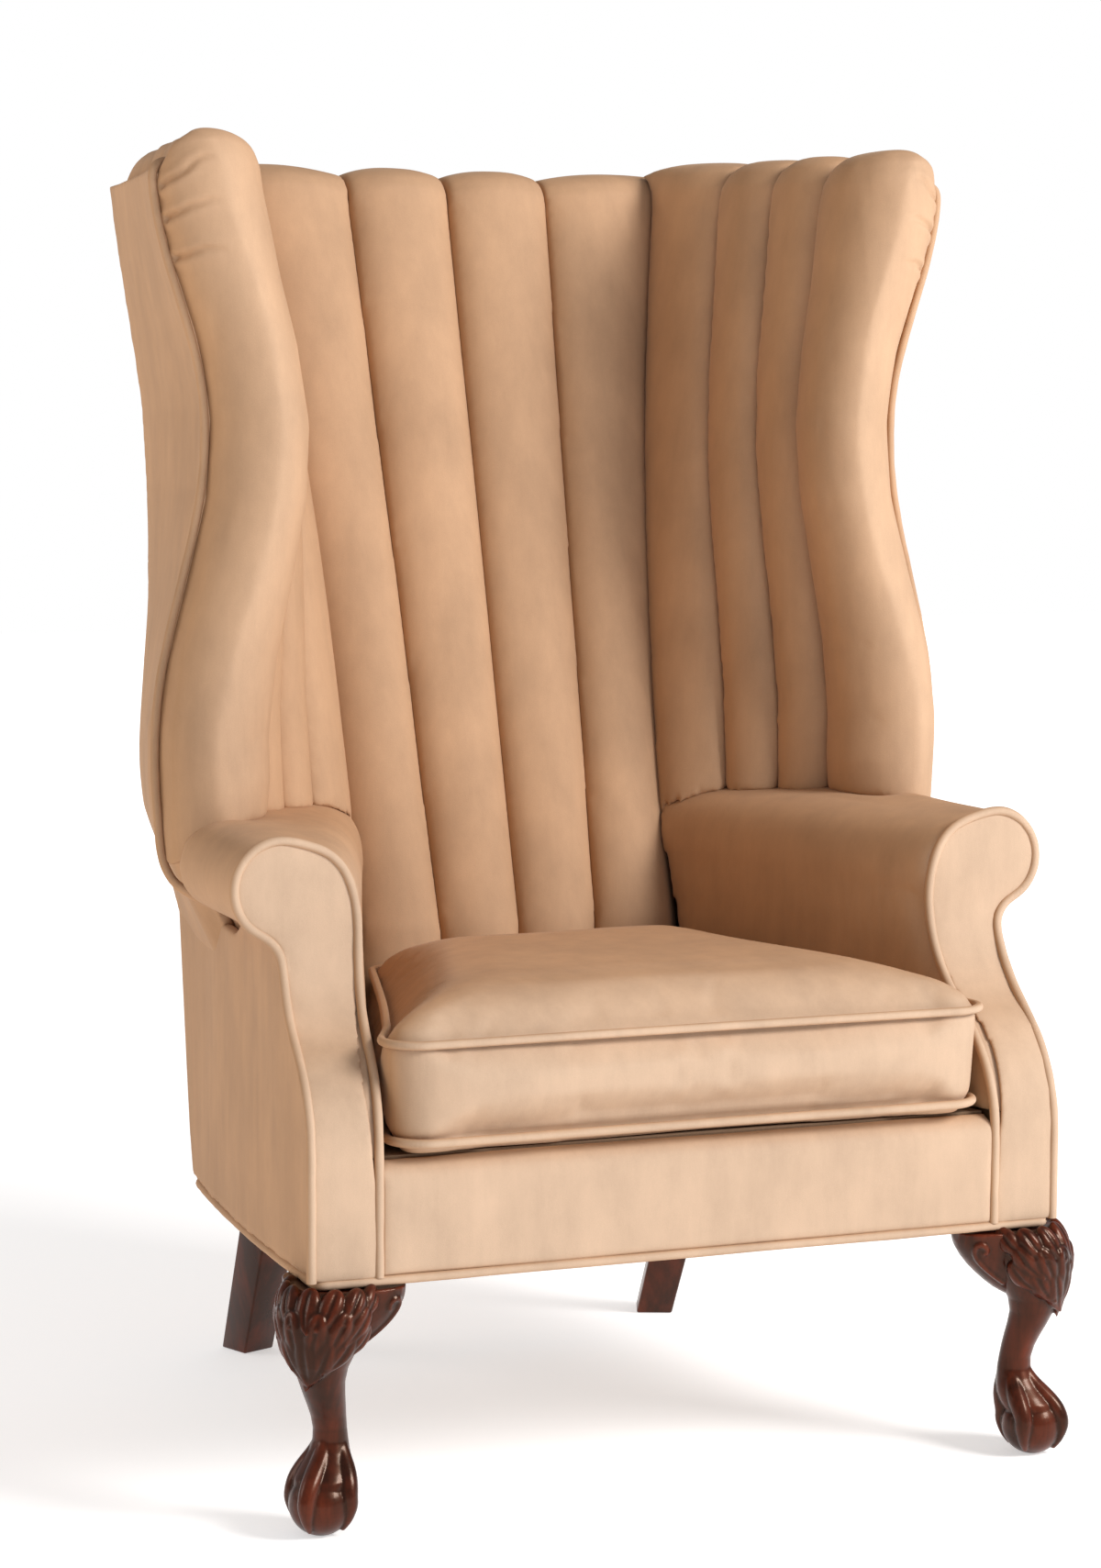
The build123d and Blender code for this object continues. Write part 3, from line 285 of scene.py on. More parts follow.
@dataclass(frozen=True)
class Mahogany:
    """Dark red-brown polished wood, with painted shade darkening the hollows of the carving."""

    name: str = "polished_mahogany"
    shadow: Colour = (0.004, 0.0012, 0.0008)
    brown: Colour = (0.024, 0.0046, 0.0022)
    red: Colour = (0.105, 0.0170, 0.0065)
    grain_stretch: Point = (60.0, 60.0, 7.0)
    figure_stretch: Point = (1.0, 1.0, 0.4)
    figure_scale: float = 26.0
    grain_weight: float = 0.6
    figure_weight: float = 0.4

    def material(self) -> bpy.types.Material:
        """The finish as a material."""
        desk = NodeDesk(self.name)
        grain = desk.cloud(desk.place(self.grain_stretch), 1.0, 6.0, 0.62)
        figure = desk.cloud(desk.place(self.figure_stretch), self.figure_scale, 3.0)
        tone = desk.weighed((grain, self.grain_weight), (figure, self.figure_weight))
        # Painted shade and light: the tone is darkened in the carving's hollows and lifted on its ridges.
        raised = desk.add("ShaderNodeAttribute")
        raised.attribute_name = PAINTED_CARVING_SHADE
        tone = desk.math("MULTIPLY", tone, raised.outputs["Fac"])
        colour = desk.ramp(tone, ((0.18, self.shadow), (0.42, self.brown), (0.66, self.red)))
        rough = desk.math("ADD", 0.2, desk.math("MULTIPLY", grain, 0.22))
        desk.shade(Base_Color=colour, Roughness=rough, Coat_Weight=0.12, Coat_Roughness=0.14,
                   Specular_IOR_Level=0.30, Specular_Tint=(1.0, 0.62, 0.42, 1.0))
        desk.relief(grain, 0.12, 0.0004)
        return desk.material


@dataclass(frozen=True)
class PlainFinish:
    """A plain finish for the pieces inside: two tones with a grain or weave."""

    name: str
    dark: Colour
    light: Colour
    stretch: Point
    roughness: float
    metallic: float = 0.0

    def material(self) -> bpy.types.Material:
        """The finish as a material."""
        desk = NodeDesk(self.name)
        grain = desk.cloud(desk.place(self.stretch), 1.0, 5.0, 0.6)
        desk.shade(Base_Color=desk.ramp(grain, ((0.3, self.dark), (0.7, self.light))),
                   Roughness=self.roughness, Metallic=self.metallic)
        desk.relief(grain, 0.2, 0.0005)
        return desk.material


# Attribute holding the painted shade and light of the carving.
PAINTED_CARVING_SHADE = "raised"
VELVET = Velvet()
MAHOGANY = Mahogany()
INNER_FINISHES: Dict[Slot, PlainFinish] = {
    Slot.FRAME_WOOD: PlainFinish(
        "frame_beech", (0.40, 0.24, 0.12), (0.55, 0.36, 0.20),
        (9.0, 120.0, 120.0), 0.6),
    Slot.STEEL: PlainFinish(
        "spring_steel", (0.30, 0.30, 0.31), (0.45, 0.45, 0.46),
        (90.0, 90.0, 90.0), 0.35, 1.0),
    Slot.WEBBING: PlainFinish(
        "jute_webbing", (0.16, 0.11, 0.06), (0.28, 0.20, 0.12),
        (700.0, 700.0, 700.0), 0.9),
    Slot.LINING: PlainFinish(
        "cotton_lining", (0.20, 0.125, 0.075), (0.27, 0.175, 0.105),
        (900.0, 900.0, 900.0), 0.95),
    Slot.FOAM: PlainFinish(
        "cushion_filling", (0.62, 0.56, 0.40), (0.72, 0.66, 0.48),
        (300.0, 300.0, 300.0), 0.95),
}


class Wardrobe:
    """Makes each finish once and hands it out."""

    def __init__(self) -> None:
        """Starts with no material made."""
        self.made: Dict[Slot, bpy.types.Material] = {}

    def take(self, slot: Slot) -> bpy.types.Material:
        """The material of a slot.

        Args:
            slot: Slot whose finish is wanted.

        Returns:
            The material, made at the first call.
        """
        if slot not in self.made:
            finish = {Slot.VELVET: VELVET, Slot.MAHOGANY: MAHOGANY}.get(slot) or INNER_FINISHES[slot]
            self.made[slot] = finish.material()
        return self.made[slot]

    def dress(self, piece: Piece, slot: Slot) -> None:
        """Gives a piece the finish of a slot, in place of what it had."""
        piece.data.materials.clear()
        piece.data.materials.append(self.take(slot))


WARDROBE = Wardrobe()
WELD = 1e-5
SIDE_LAYER: Point = (-0.0025, 0.0, 0.0)
SIDE_UNEVENNESS = 0.0012
SIDE_WAVE: Point = (0.09, 0.09, 0.22)


def pick(*pieces: Piece) -> None:
    """Selects only these pieces and makes the first one active."""
    bpy.ops.object.select_all(action="DESELECT")
    for piece in pieces:
        piece.select_set(True)
    bpy.context.view_layer.objects.active = pieces[0]


@contextmanager
def editing(piece: Piece) -> Iterator[None]:
    """Holds a piece in edit mode, at first with all of it selected."""
    pick(piece)
    bpy.ops.object.mode_set(mode="EDIT")
    bpy.ops.mesh.select_all(action="SELECT")
    yield
    bpy.ops.object.mode_set(mode="OBJECT")


def turn_outwards() -> None:
    """Turns all faces of the piece in edit mode outwards."""
    bpy.ops.mesh.select_all(action="SELECT")
    bpy.ops.mesh.normals_make_consistent(inside=False)


def apply_modifiers(piece: Piece) -> None:
    """Applies every modifier of a piece, in order."""
    pick(piece)
    for modifier in list(piece.modifiers):
        bpy.ops.object.modifier_apply(modifier=modifier.name)


def joined(name: str, pieces: Sequence[Piece]) -> Piece:
    """Joins pieces into the first one.

    Args:
        name: Name of the result.
        pieces: Pieces to join.

    Returns:
        The joined piece.
    """
    pick(*pieces)
    if len(pieces) > 1:
        bpy.ops.object.join()
    pieces[0].name = name
    pieces[0].data.name = name
    return pieces[0]


def copied(name: str, nodes: Sequence[str]) -> Piece:
    """New piece with the welded shapes of CAD nodes.

    Args:
        name: Name of the piece.
        nodes: CAD nodes to copy.

    Returns:
        The piece, with its place in its mesh.
    """
    copies = []
    for node in nodes:
        copy = bpy.data.objects.new(name, frame["nodes"][node].data.copy())
        bpy.context.scene.collection.objects.link(copy)
        copies.append(copy)
    piece = joined(name, copies)
    with editing(piece):
        bpy.ops.mesh.remove_doubles(threshold=WELD)
    return piece


def remeshed(piece: Piece, voxel: float, smoothing: int) -> None:
    """Gives a piece an even skin and smooths it.

    Args:
        piece: Piece to work on.
        voxel: Edge length of the skin.
        smoothing: Passes of smoothing.
    """
    remesh = piece.modifiers.new("skin", "REMESH")
    remesh.mode = "VOXEL"
    remesh.voxel_size = voxel
    smoothed(piece, smoothing)


def smoothed(piece: Piece, passes: int, factor: float = 0.5) -> None:
    """Adds smoothing to a piece and applies all its modifiers.

    Args:
        piece: Piece to work on.
        passes: Passes of smoothing.
        factor: Strength of each pass.
    """
    smooth = piece.modifiers.new("ease", "SMOOTH")
    smooth.factor = factor
    smooth.iterations = passes
    apply_modifiers(piece)


def covered(name: str, node: str, inward: Point, filling: "Filling") -> Piece:
    """Cover panel skinned from a CAD panel that is first thickened inwards, so that its thin edges hold.

    Args:
        name: Name of the piece.
        node: CAD panel.
        inward: Step from the cover towards the frame behind it.
        filling: How the skin is made.

    Returns:
        The cover's mesh.
    """
    layers = []
    for index in range(3):
        layer = copied(name, [node])
        layer.data.transform(Matrix.Translation(Vector(inward) * index))
        layers.append(layer)
    piece = joined(name, layers)
    remeshed(piece, filling.voxel, filling.smoothing)
    return piece


def points_of(piece: Piece) -> np.ndarray:
    """The piece's vertices as rows of coordinates."""
    flat = np.empty(len(piece.data.vertices) * 3)
    piece.data.vertices.foreach_get("co", flat)
    return flat.reshape(-1, 3)


def set_points(piece: Piece, points: np.ndarray) -> None:
    """Writes vertex coordinates back to the piece."""
    piece.data.vertices.foreach_set("co", points.ravel())
    piece.data.update()


def smooth_shaded(piece: Piece) -> None:
    """Shades a piece smooth all over."""
    pick(piece)
    bpy.ops.object.shade_smooth()


@dataclass(frozen=True)
class Filling:
    """How a padded piece is skinned and filled."""

    voxel: float
    smoothing: int
    pressure: float = 0.0
    cap: float = 0.004
    fill: float = 0.7
    frames: int = 8

    def skinned(self, name: str, nodes: Sequence[str]) -> Piece:
        """Piece skinned from CAD nodes and filled.

        Args:
            name: Name of the piece.
            nodes: CAD nodes that give its shape.

        Returns:
            The piece.
        """
        piece = copied(name, nodes)
        remeshed(piece, self.voxel, self.smoothing)
        self.swell(piece)
        return piece

    def swell(self, piece: Piece) -> None:
        """Swells a skinned piece under pressure by cloth simulation, within the cap.

        Args:
            piece: Piece to fill.
        """
        if not self.pressure:
            return
        before = points_of(piece)
        cloth = piece.modifiers.new("filling", "CLOTH")
        settings = cloth.settings
        settings.quality = 2
        settings.use_pressure = True
        settings.uniform_pressure_force = self.pressure
        settings.effector_weights.gravity = 0.0
        cloth.collision_settings.use_collision = False
        cloth.point_cache.frame_start = 1
        cloth.point_cache.frame_end = self.frames
        scene = bpy.context.scene
        for number in range(1, self.frames + 1):
            scene.frame_set(number)
        apply_modifiers(piece)
        scene.frame_set(1)
        moves = points_of(piece) - before
        lengths = np.linalg.norm(moves, axis=1, keepdims=True)
        moves *= np.minimum(1.0, self.cap / np.maximum(lengths, 1e-9))
        set_points(piece, before + moves)


class Skin:
    """A piece's points and normals, to be pressed and lifted."""

    def __init__(self, piece: Piece) -> None:
        """Reads the piece.

        Args:
            piece: Piece to work on.
        """
        self.piece = piece
        self.points = points_of(piece)
        flat = np.empty(len(piece.data.vertices) * 3)
        piece.data.vertices.foreach_get("normal", flat)
        self.normals = flat.reshape(-1, 3)

    def along(self, path: Sequence[Point]) -> Tuple[np.ndarray, np.ndarray, np.ndarray]:
        """How the skin's points lie beside a path.

        Args:
            path: Points of the path, in order.

        Returns:
            Each point's distance from the path, the share of the path where it is nearest, and that spot.
        """
        line = np.array(path)
        steps = np.linalg.norm(np.diff(line, axis=0), axis=1)
        run = np.concatenate(([0.0], np.cumsum(steps)))
        best = np.full(len(self.points), 1e9)
        share = np.zeros(len(self.points))
        spots = np.zeros_like(self.points)
        for index in range(len(line) - 1):
            edge = line[index + 1] - line[index]
            t = np.clip((self.points - line[index]) @ edge / (edge @ edge), 0.0, 1.0)
            foot = line[index] + t[:, None] * edge
            distance = np.linalg.norm(self.points - foot, axis=1)
            nearer = distance < best
            best[nearer] = distance[nearer]
            share[nearer] = ((run[index] + t * steps[index]) / run[-1])[nearer]
            spots[nearer] = foot[nearer]
        return best, share, spots

    def onto(self, path: Sequence[Point]) -> List[Point]:
        """The skin's own points nearest to those of a path."""
        gaps = (np.linalg.norm(self.points - np.array(spot), axis=1) for spot in path)
        return [tuple(self.points[np.argmin(gap)]) for gap in gaps]

    def draw_to(self, path: Sequence[Point], reach: float, share: float) -> None:
        """Draws the skin beside a sewn line towards it.

        Args:
            path: Points of the sewn line.
            reach: Distance within which the skin is drawn.
            share: Share of its distance by which the nearest skin moves.
        """
        distance, _, spots = self.along(path)
        pull = share * np.clip(1.0 - distance / reach, 0.0, 1.0) ** 1.3
        self.points += (spots - self.points) * pull[:, None]

    def press(self, path: Sequence[Point], depth: float, width: float, lift: float = 0.0) -> None:
        """Presses a fold into the skin along a path, fading to its end.

        Args:
            path: Points of the fold, from its tight end to its open end.
            depth: Depth of the fold.
            width: Half width of the fold.
            lift: Height of the swell beside the fold.
        """
        distance, share, _ = self.along(self.onto(path))
        fade = np.clip(1.0 - share, 0.0, 1.0) ** 0.7
        dip = depth * np.exp(-(distance / width) ** 2)
        swell = lift * np.exp(-((distance - 2.2 * width) / (1.6 * width)) ** 2)
        self.points += self.normals * ((swell - dip) * fade)[:, None]

    def scallop(self, across: Tuple[float, float], fall: float, run: float) -> None:
        """Rounds a flute's top down to the seams at both its sides.

        Args:
            across: Level direction from one seam to the other.
            fall: How much lower the top lies at the seams.
            run: Height over which the rounding fades out.
        """
        top = self.points[:, 2].max()
        near = self.points[:, 2] > top - run
        place = self.points[near, :2] @ np.array(across)
        side = 2.0 * (place - place.min()) / (place.max() - place.min()) - 1.0
        rise = np.clip((self.points[near, 2] - top + run) / run, 0.0, 1.0)
        self.points[near, 2] -= fall * np.abs(side) ** 2.6 * rise ** 1.5

    def ruffle(self, height: float, size: Point, seed: float) -> None:
        """Adds slow, slight unevenness, as stuffing has.

        Args:
            height: Largest rise.
            size: Length of the waves along each axis.
            seed: Shift of the pattern.
        """
        places = self.points / np.array(size) + seed
        rise = np.array([noise.noise(Vector(place)) for place in places])
        self.points += self.normals * (rise * height)[:, None]

    def write(self) -> None:
        """Writes the points back to the piece."""
        set_points(self.piece, self.points)


def finished(piece: Piece, body: Body, slot: Slot, nodes: Sequence[str]) -> Piece:
    """Dresses a piece, seats it on its body and hides the CAD nodes that it stands for.

    Args:
        piece: Finished mesh.
        body: Body that it rides on.
        slot: Slot of its finish.
        nodes: CAD nodes that it stands for.

    Returns:
        The piece.
    """
    smooth_shaded(piece)
    WARDROBE.dress(piece, slot)
    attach(piece, body.value)
    if nodes:
        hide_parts(*nodes)
    log.info("%s: %d points", piece.name, len(piece.data.vertices))
    return piece


def mirrored(piece: Piece, name: str) -> Piece:
    """Copy of a right-hand mesh for the left.

    Args:
        piece: Piece on the right, not yet seated.
        name: Name of the copy.

    Returns:
        The copy, with its own mesh turned the right way out.
    """
    copy = bpy.data.objects.new(name, piece.data.copy())
    copy.data.name = name
    bpy.context.scene.collection.objects.link(copy)
    with editing(copy):
        bpy.ops.transform.resize(value=(-1.0, 1.0, 1.0), center_override=(0.0, 0.0, 0.0))
        turn_outwards()
    return copy


def depth(y: float) -> float:
    """Depth in the part's frame of a depth behind the base's front."""
    return y + BASE_FRONT_Y


def ramped(run: np.ndarray, span: float) -> np.ndarray:
    """How much of a span each run covers, from 0 to 1."""
    return np.clip(run / span, 0.0, 1.0)


def eased(share: np.ndarray) -> np.ndarray:
    """A share from 0 to 1, with soft ends."""
    return share * share * (3 - 2 * share)


def ruffled(piece: Piece, height: float, size: Point, seed: float) -> None:
    """Adds slow, slight unevenness to a whole piece."""
    skin = Skin(piece)
    skin.ruffle(height, size, seed)
    skin.write()


@dataclass(frozen=True)
class Sweep:
    """How a round section is swept along a curve into a mesh."""

    radius: float
    order: int = 4
    steps: int = 8
    rounding: int = 4
    closed: bool = False

    def along(self, name: str, stops: Sequence[Tuple[Sequence[float], float]]) -> Piece:
        """Sweeps the section.

        Args:
            name: Name of the piece.
            stops: Points of the curve, with the share of the radius at each.

        Returns:
            The swept mesh.
        """
        data = bpy.data.curves.new(name, "CURVE")
        data.dimensions = "3D"
        spline = data.splines.new("NURBS")
        spline.points.add(len(stops) - 1)
        for point, (place, thickness) in zip(spline.points, stops):
            point.co = (*place, 1.0)
            point.radius = thickness
        spline.order_u = self.order
        spline.use_endpoint_u = not self.closed
        spline.use_cyclic_u = self.closed
        spline.resolution_u = self.steps
        data.bevel_depth = self.radius
        data.bevel_resolution = self.rounding
        data.use_fill_caps = not self.closed
        curve = bpy.data.objects.new(name, data)
        bpy.context.scene.collection.objects.link(curve)
        pick(curve)
        bpy.ops.object.convert(target="MESH")
        return bpy.context.view_layer.objects.active


@dataclass
class Welt:
    """Fabric-covered piping cord along a route."""

    name: str
    route: Sequence[Point]
    radius: float = 0.0045
    closed: bool = False
    unevenness: float = 0.0004
    wave: Point = (0.02, 0.02, 0.02)
    seed: float = 3.0

    def build(self) -> Piece:
        """The cord as a mesh, not yet seated."""
        sweep = Sweep(self.radius, steps=6, rounding=3, closed=self.closed)
        piece = sweep.along(self.name, [(place, 1.0) for place in self.route])
        piece.name = self.name
        ruffled(piece, self.unevenness, self.wave, self.seed)
        return piece


@dataclass
class Back:
    """The four flutes of the inside back and the flat outside back."""

    flute: Filling = Filling(0.0044, 5, 4.0, 0.0045, 0.75)
    cover: Filling = Filling(0.0044, 3, fill=0.3)
    layer: Point = (0.0, -0.0025, 0.0)
    count: int = 4
    scallop: float = 0.009
    scallop_run: float = 0.085
    unevenness: float = 0.0014
    wave: Point = (0.10, 0.10, 0.24)
    seed_step: float = 1.7

    def build(self) -> None:
        """Builds and seats the back's pieces."""
        for index in range(1, self.count // 2 + 1):
            piece = self.flute.skinned(f"flute_back_{index}", [f"back_flute_{index}"])
            skin = Skin(piece)
            skin.scallop((1.0, 0.0), self.scallop, self.scallop_run)
            skin.write()
            opposite = self.count + 1 - index
            twin = mirrored(piece, f"flute_back_{opposite}")
            for half, number in ((piece, index), (twin, opposite)):
                ruffled(half, self.unevenness, self.wave, self.seed_step * number)
                finished(half, Body.CHAIR, Slot.VELVET, [f"back_flute_{number}"])
        outside = covered("cover_back", "outside_back", self.layer, self.cover)
        finished(outside, Body.CHAIR, Slot.VELVET, ["outside_back"])


@dataclass
class Wing:
    """One wing: three flutes, the front roll, the outside cover and its piping."""

    flute: Filling = Filling(0.0042, 4, 5.0, 0.0060, 0.75)
    roll: Filling = Filling(0.0040, 8, 4.0, 0.0045, 0.85)
    cover: Filling = Filling(0.0030, 3, fill=0.3)
    flutes: int = 3
    hip: Pair = (0.685, 0.431)
    waist: Pair = (0.996, 0.364)
    swing: Pair = (1.300, 0.418)
    front: float = 0.322
    foot: float = 0.588
    crown: float = 1.250
    levels: int = 29
    wrap: float = 0.040
    wrap_reach: float = 0.055
    wrap_swell: float = 0.020
    sewn_reach: float = 0.020
    sewn_share: float = 0.85
    probe: float = 0.03
    seam_out: float = 0.003
    seam_lap: float = 0.004
    drawn: float = 0.12
    proud: float = 0.0035
    lean: float = 0.013
    lean_foot: float = 1.03
    lean_run: float = 0.19
    lean_x: float = 0.325
    lean_width: float = 0.07
    belly: float = 0.008
    belly_way: Point = (-0.95, -0.3, 0.0)
    belly_foot: float = 0.60
    belly_rise: float = 0.06
    belly_top: float = 1.0
    belly_fade: float = 0.15
    dome_foot: float = 1.15
    dome_run: float = 0.14
    dome_inner: float = 0.315
    dome_width: float = 0.10
    dome_rise: float = 0.006
    dome_falls: Point = (0.012, 0.020, 0.009)
    swell: float = 0.013
    swell_top: float = 0.86
    swell_run: float = 0.22
    sag: float = 0.046
    sag_in: float = 0.018
    sag_top: float = 0.67
    sag_run: float = 0.085
    scallop: float = 0.010
    scallop_run: float = 0.07
    tuck_run: float = 0.085
    tuck_inner: float = 0.006
    tuck_outer: float = 0.054
    tuck_x: float = 0.345
    tuck_width: float = 0.08
    folds: Tuple[Tuple[float, float, float, float], ...] = (
        (1.236, 0.040, 0.034, 0.0040), (1.203, 0.044, 0.018, 0.0042), (1.164, 0.040, 0.007, 0.0040))
    fold_start: Pair = (0.004, 0.010)
    fold_run: float = 0.078
    fold_width: float = 0.0030
    fold_lift: float = 0.0016
    cord_foot: Tuple[Point, ...] = (
        (-0.045, -0.060, -0.048), (-0.014, -0.022, -0.036), (-0.004, -0.007, -0.018))
    cord_head: Tuple[Point, ...] = ((-0.006, 0.003, 0.008), (-0.018, 0.010, 0.013), (-0.036, 0.03, 0.008))

    def edge(self, z: float) -> Point:
        """Point of the right wing's front edge at a height."""
        end = self.hip if z < self.waist[0] else self.swing
        t = min((z - self.waist[0]) / (end[0] - self.waist[0]), 1.25)
        x = self.waist[1] + (end[1] - self.waist[1]) * (1 - math.cos(math.pi * t)) / 2
        return (x, depth(self.front), z)

    def frame_edge(self) -> List[Point]:
        """Front edge of the right wing's frame from the arm up to the crest."""
        return [self.edge(float(z)) for z in np.linspace(self.foot, self.crown, self.levels)]

    def seam(self, cover: Skin) -> List[Point]:
        """The piped seam: behind the frame's front edge, smooth, on the outside cover.

        Args:
            cover: Skin of the outside cover.

        Returns:
            Points from the arm up to the crest.
        """
        probes = [(x + self.probe, y + self.wrap, z) for x, y, z in self.frame_edge()]
        sides = np.array(cover.onto(probes))[:, 0]
        even = np.convolve(np.pad(sides, 3, mode="edge"), np.ones(7) / 7, mode="valid")
        return [(float(x) + self.seam_out, y, z) for x, (_, y, z) in zip(even, probes)]

    def wrapped(self, skin: Skin, seam: Sequence[Point]) -> None:
        """Stretches the roll's outer edge back round the wing's side to the seam."""
        distance, _, spots = skin.along(self.frame_edge())
        line = np.array(seam)
        target = np.stack([np.interp(spots[:, 2], line[:, 2], line[:, axis]) for axis in (0, 1)], axis=1)
        pull = np.clip(1.0 - distance / self.wrap_reach, 0.0, 1.0) ** 1.2
        skin.points[:, :2] += (target - spots[:, :2]) * pull[:, None]
        skin.points[:, 0] += self.wrap_swell * pull * (1.0 - pull)

    def fill_out(self, skin: Skin) -> None:
        """Swells the roll's inner side, most in its lower half."""
        inward = np.clip(skin.normals @ np.array(self.belly_way), 0.0, 1.0)
        z = skin.points[:, 2]
        low = ramped(z - self.belly_foot, self.belly_rise)
        low *= 1.0 - 0.6 * ramped(z - self.belly_top, self.belly_fade)
        skin.points[:, 0] -= self.belly * inward * low

    def dome(self, skin: Skin) -> None:
        """Rounds the roll's top: highest towards its piped edge, falling away to the inner seam."""
        points = skin.points
        rise = ramped(points[:, 2] - self.dome_foot, self.dome_run)
        side = ramped(points[:, 0] - self.dome_inner, self.dome_width)
        ahead = ramped(depth(self.front + 0.01) - points[:, 1], 0.06)
        inner_fall, outer_fall, front_fall = self.dome_falls
        lift = self.dome_rise * np.sin(np.pi * side) - inner_fall * (1.0 - side) ** 2.2
        lift -= outer_fall * side ** 4 + front_fall * ahead ** 2
        points[:, 2] += lift * rise ** 2

    def flare(self, points: np.ndarray, weight: np.ndarray) -> None:
        """Leans the wing's upper front outwards.

        Args:
            points: Points to move.
            weight: How much of the lean each point takes.
        """
        points[:, 0] += self.lean * weight * eased(ramped(points[:, 2] - self.lean_foot, self.lean_run))

    def hang(self, skin: Skin, seam: Sequence[Point]) -> None:
        """Draws the cover's front back to the seam and swells its lower rear corner down over the arm."""
        points = skin.points
        line, front = np.array(seam), np.array(self.frame_edge())
        slope = np.interp(points[:, 2], line[:, 2], (line[:, 0] - self.seam_out - front[:, 0]) / self.wrap)
        behind = points[:, 1] - depth(self.front)
        shift = (self.wrap - self.seam_lap) * np.clip(1.0 - behind / self.drawn, 0.0, 1.2)
        points[:, 1] += shift
        points[:, 0] += slope * shift
        back = eased(ramped(behind - 0.02, 0.09))
        low = eased(ramped(self.swell_top - points[:, 2], self.swell_run))
        under = ramped(self.sag_top - points[:, 2], self.sag_run)
        points[:, 0] += back * (self.swell * low - self.sag_in * under ** 2)
        points[:, 2] -= self.sag * under * back
        self.flare(points, 1.0 - 0.6 * ramped(behind, 0.2))

    def tuck(self, skin: Skin) -> None:
        """Draws the roll's foot down over the arm, lower on its outer side."""
        points = skin.points
        rise = ramped(points[:, 2] - points[:, 2].min(), self.tuck_run)
        out = eased(ramped(points[:, 0] - self.tuck_x, self.tuck_width))
        drop = self.tuck_inner + (self.tuck_outer - self.tuck_inner) * out
        points[:, 2] -= drop * (1 - rise) ** 1.2

    def pleats(self, skin: Skin, seam: Sequence[Point]) -> None:
        """Presses the short folds that gather the roll's domed top to the piping."""
        line = np.array(seam)
        out, ahead = self.fold_start
        for z, inward, up, dip in self.folds:
            x = float(np.interp(z, line[:, 2], line[:, 0])) + self.lean
            path = []
            for t in np.linspace(0.0, 1.0, 9):
                bend = math.sin(math.pi * t / 2)
                y = line[0, 1] - ahead - self.fold_run * bend
                path.append((x + out - inward * t * t, y, z + up * bend))
            skin.press(path, dip, self.fold_width, self.fold_lift)

    def fluted(self) -> List[Piece]:
        """The right wing's flutes, rounded at the crest."""
        pieces = [self.flute.skinned(f"flute_wing_{index}", [Side.RIGHT.node(f"wing_flute_{index}")])
                  for index in range(1, self.flutes + 1)]
        run = points_of(pieces[-1]).mean(axis=0) - points_of(pieces[0]).mean(axis=0)
        length = math.hypot(run[0], run[1])
        for piece in pieces:
            skin = Skin(piece)
            skin.scallop((run[0] / length, run[1] / length), self.scallop, self.scallop_run)
            skin.write()
        return pieces

    def rolled(self, seam: Sequence[Point]) -> Piece:
        """The right wing's front roll, gathered to its piped seam."""
        roll = self.roll.skinned("roll_wing", [Side.RIGHT.node("wing_roll")])
        skin = Skin(roll)
        self.tuck(skin)
        self.dome(skin)
        self.fill_out(skin)
        self.wrapped(skin, seam)
        skin.draw_to(seam, self.sewn_reach, self.sewn_share)
        self.flare(skin.points, ramped(skin.points[:, 0] - self.lean_x, self.lean_width))
        skin.write()
        finer = roll.modifiers.new("finer", "SUBSURF")
        finer.levels = 1
        apply_modifiers(roll)
        skin = Skin(roll)
        self.pleats(skin, seam)
        skin.write()
        return roll

    def cord(self, seam: Sequence[Point]) -> Piece:
        """Piping up the seam, its ends led in under the arm's pad and over the crest."""
        line = np.array(seam)
        self.flare(line, np.ones(len(line)))
        line[:, 0] += self.proud
        route = [tuple(line[0] + step) for step in np.array(self.cord_foot)]
        route += [tuple(point) for point in line]
        route += [tuple(line[-1] + step) for step in np.array(self.cord_head)]
        return Welt("welt_wing", route).build()

    def build(self) -> None:
        """Builds the right wing's pieces, copies them for the left and seats both."""
        made: List[Made] = []
        for index, piece in enumerate(self.fluted(), start=1):
            made.append((piece, f"wing_flute_{index}", self.flute.fill))
        cover = covered("cover_wing", Side.RIGHT.node("outside_wing"), SIDE_LAYER, self.cover)
        skin = Skin(cover)
        seam = self.seam(skin)
        self.hang(skin, seam)
        skin.write()
        made.append((cover, "outside_wing", self.cover.fill))
        made.append((self.rolled(seam), "wing_roll", self.roll.fill))
        made.append((self.cord(seam), "wing_piping", None))
        seat_both(made)


def seat_both(made: Sequence[Made]) -> None:
    """Copies right-hand velvet pieces for the left, ruffles the padded ones and seats both.

    Args:
        made: Pieces with the names of their nodes and their fill.
    """
    for piece, node, fill in made:
        stem = piece.name
        pairs = ((Side.LEFT, mirrored(piece, f"{stem}_left")), (Side.RIGHT, piece))
        for side, half in pairs:
            half.name = f"{stem}_{side.value}"
            if fill is not None:
                ruffled(half, SIDE_UNEVENNESS, SIDE_WAVE, 5.0 + 2.3 * side.sign + len(stem))
            finished(half, Body.CHAIR, Slot.VELVET, [side.node(node)])


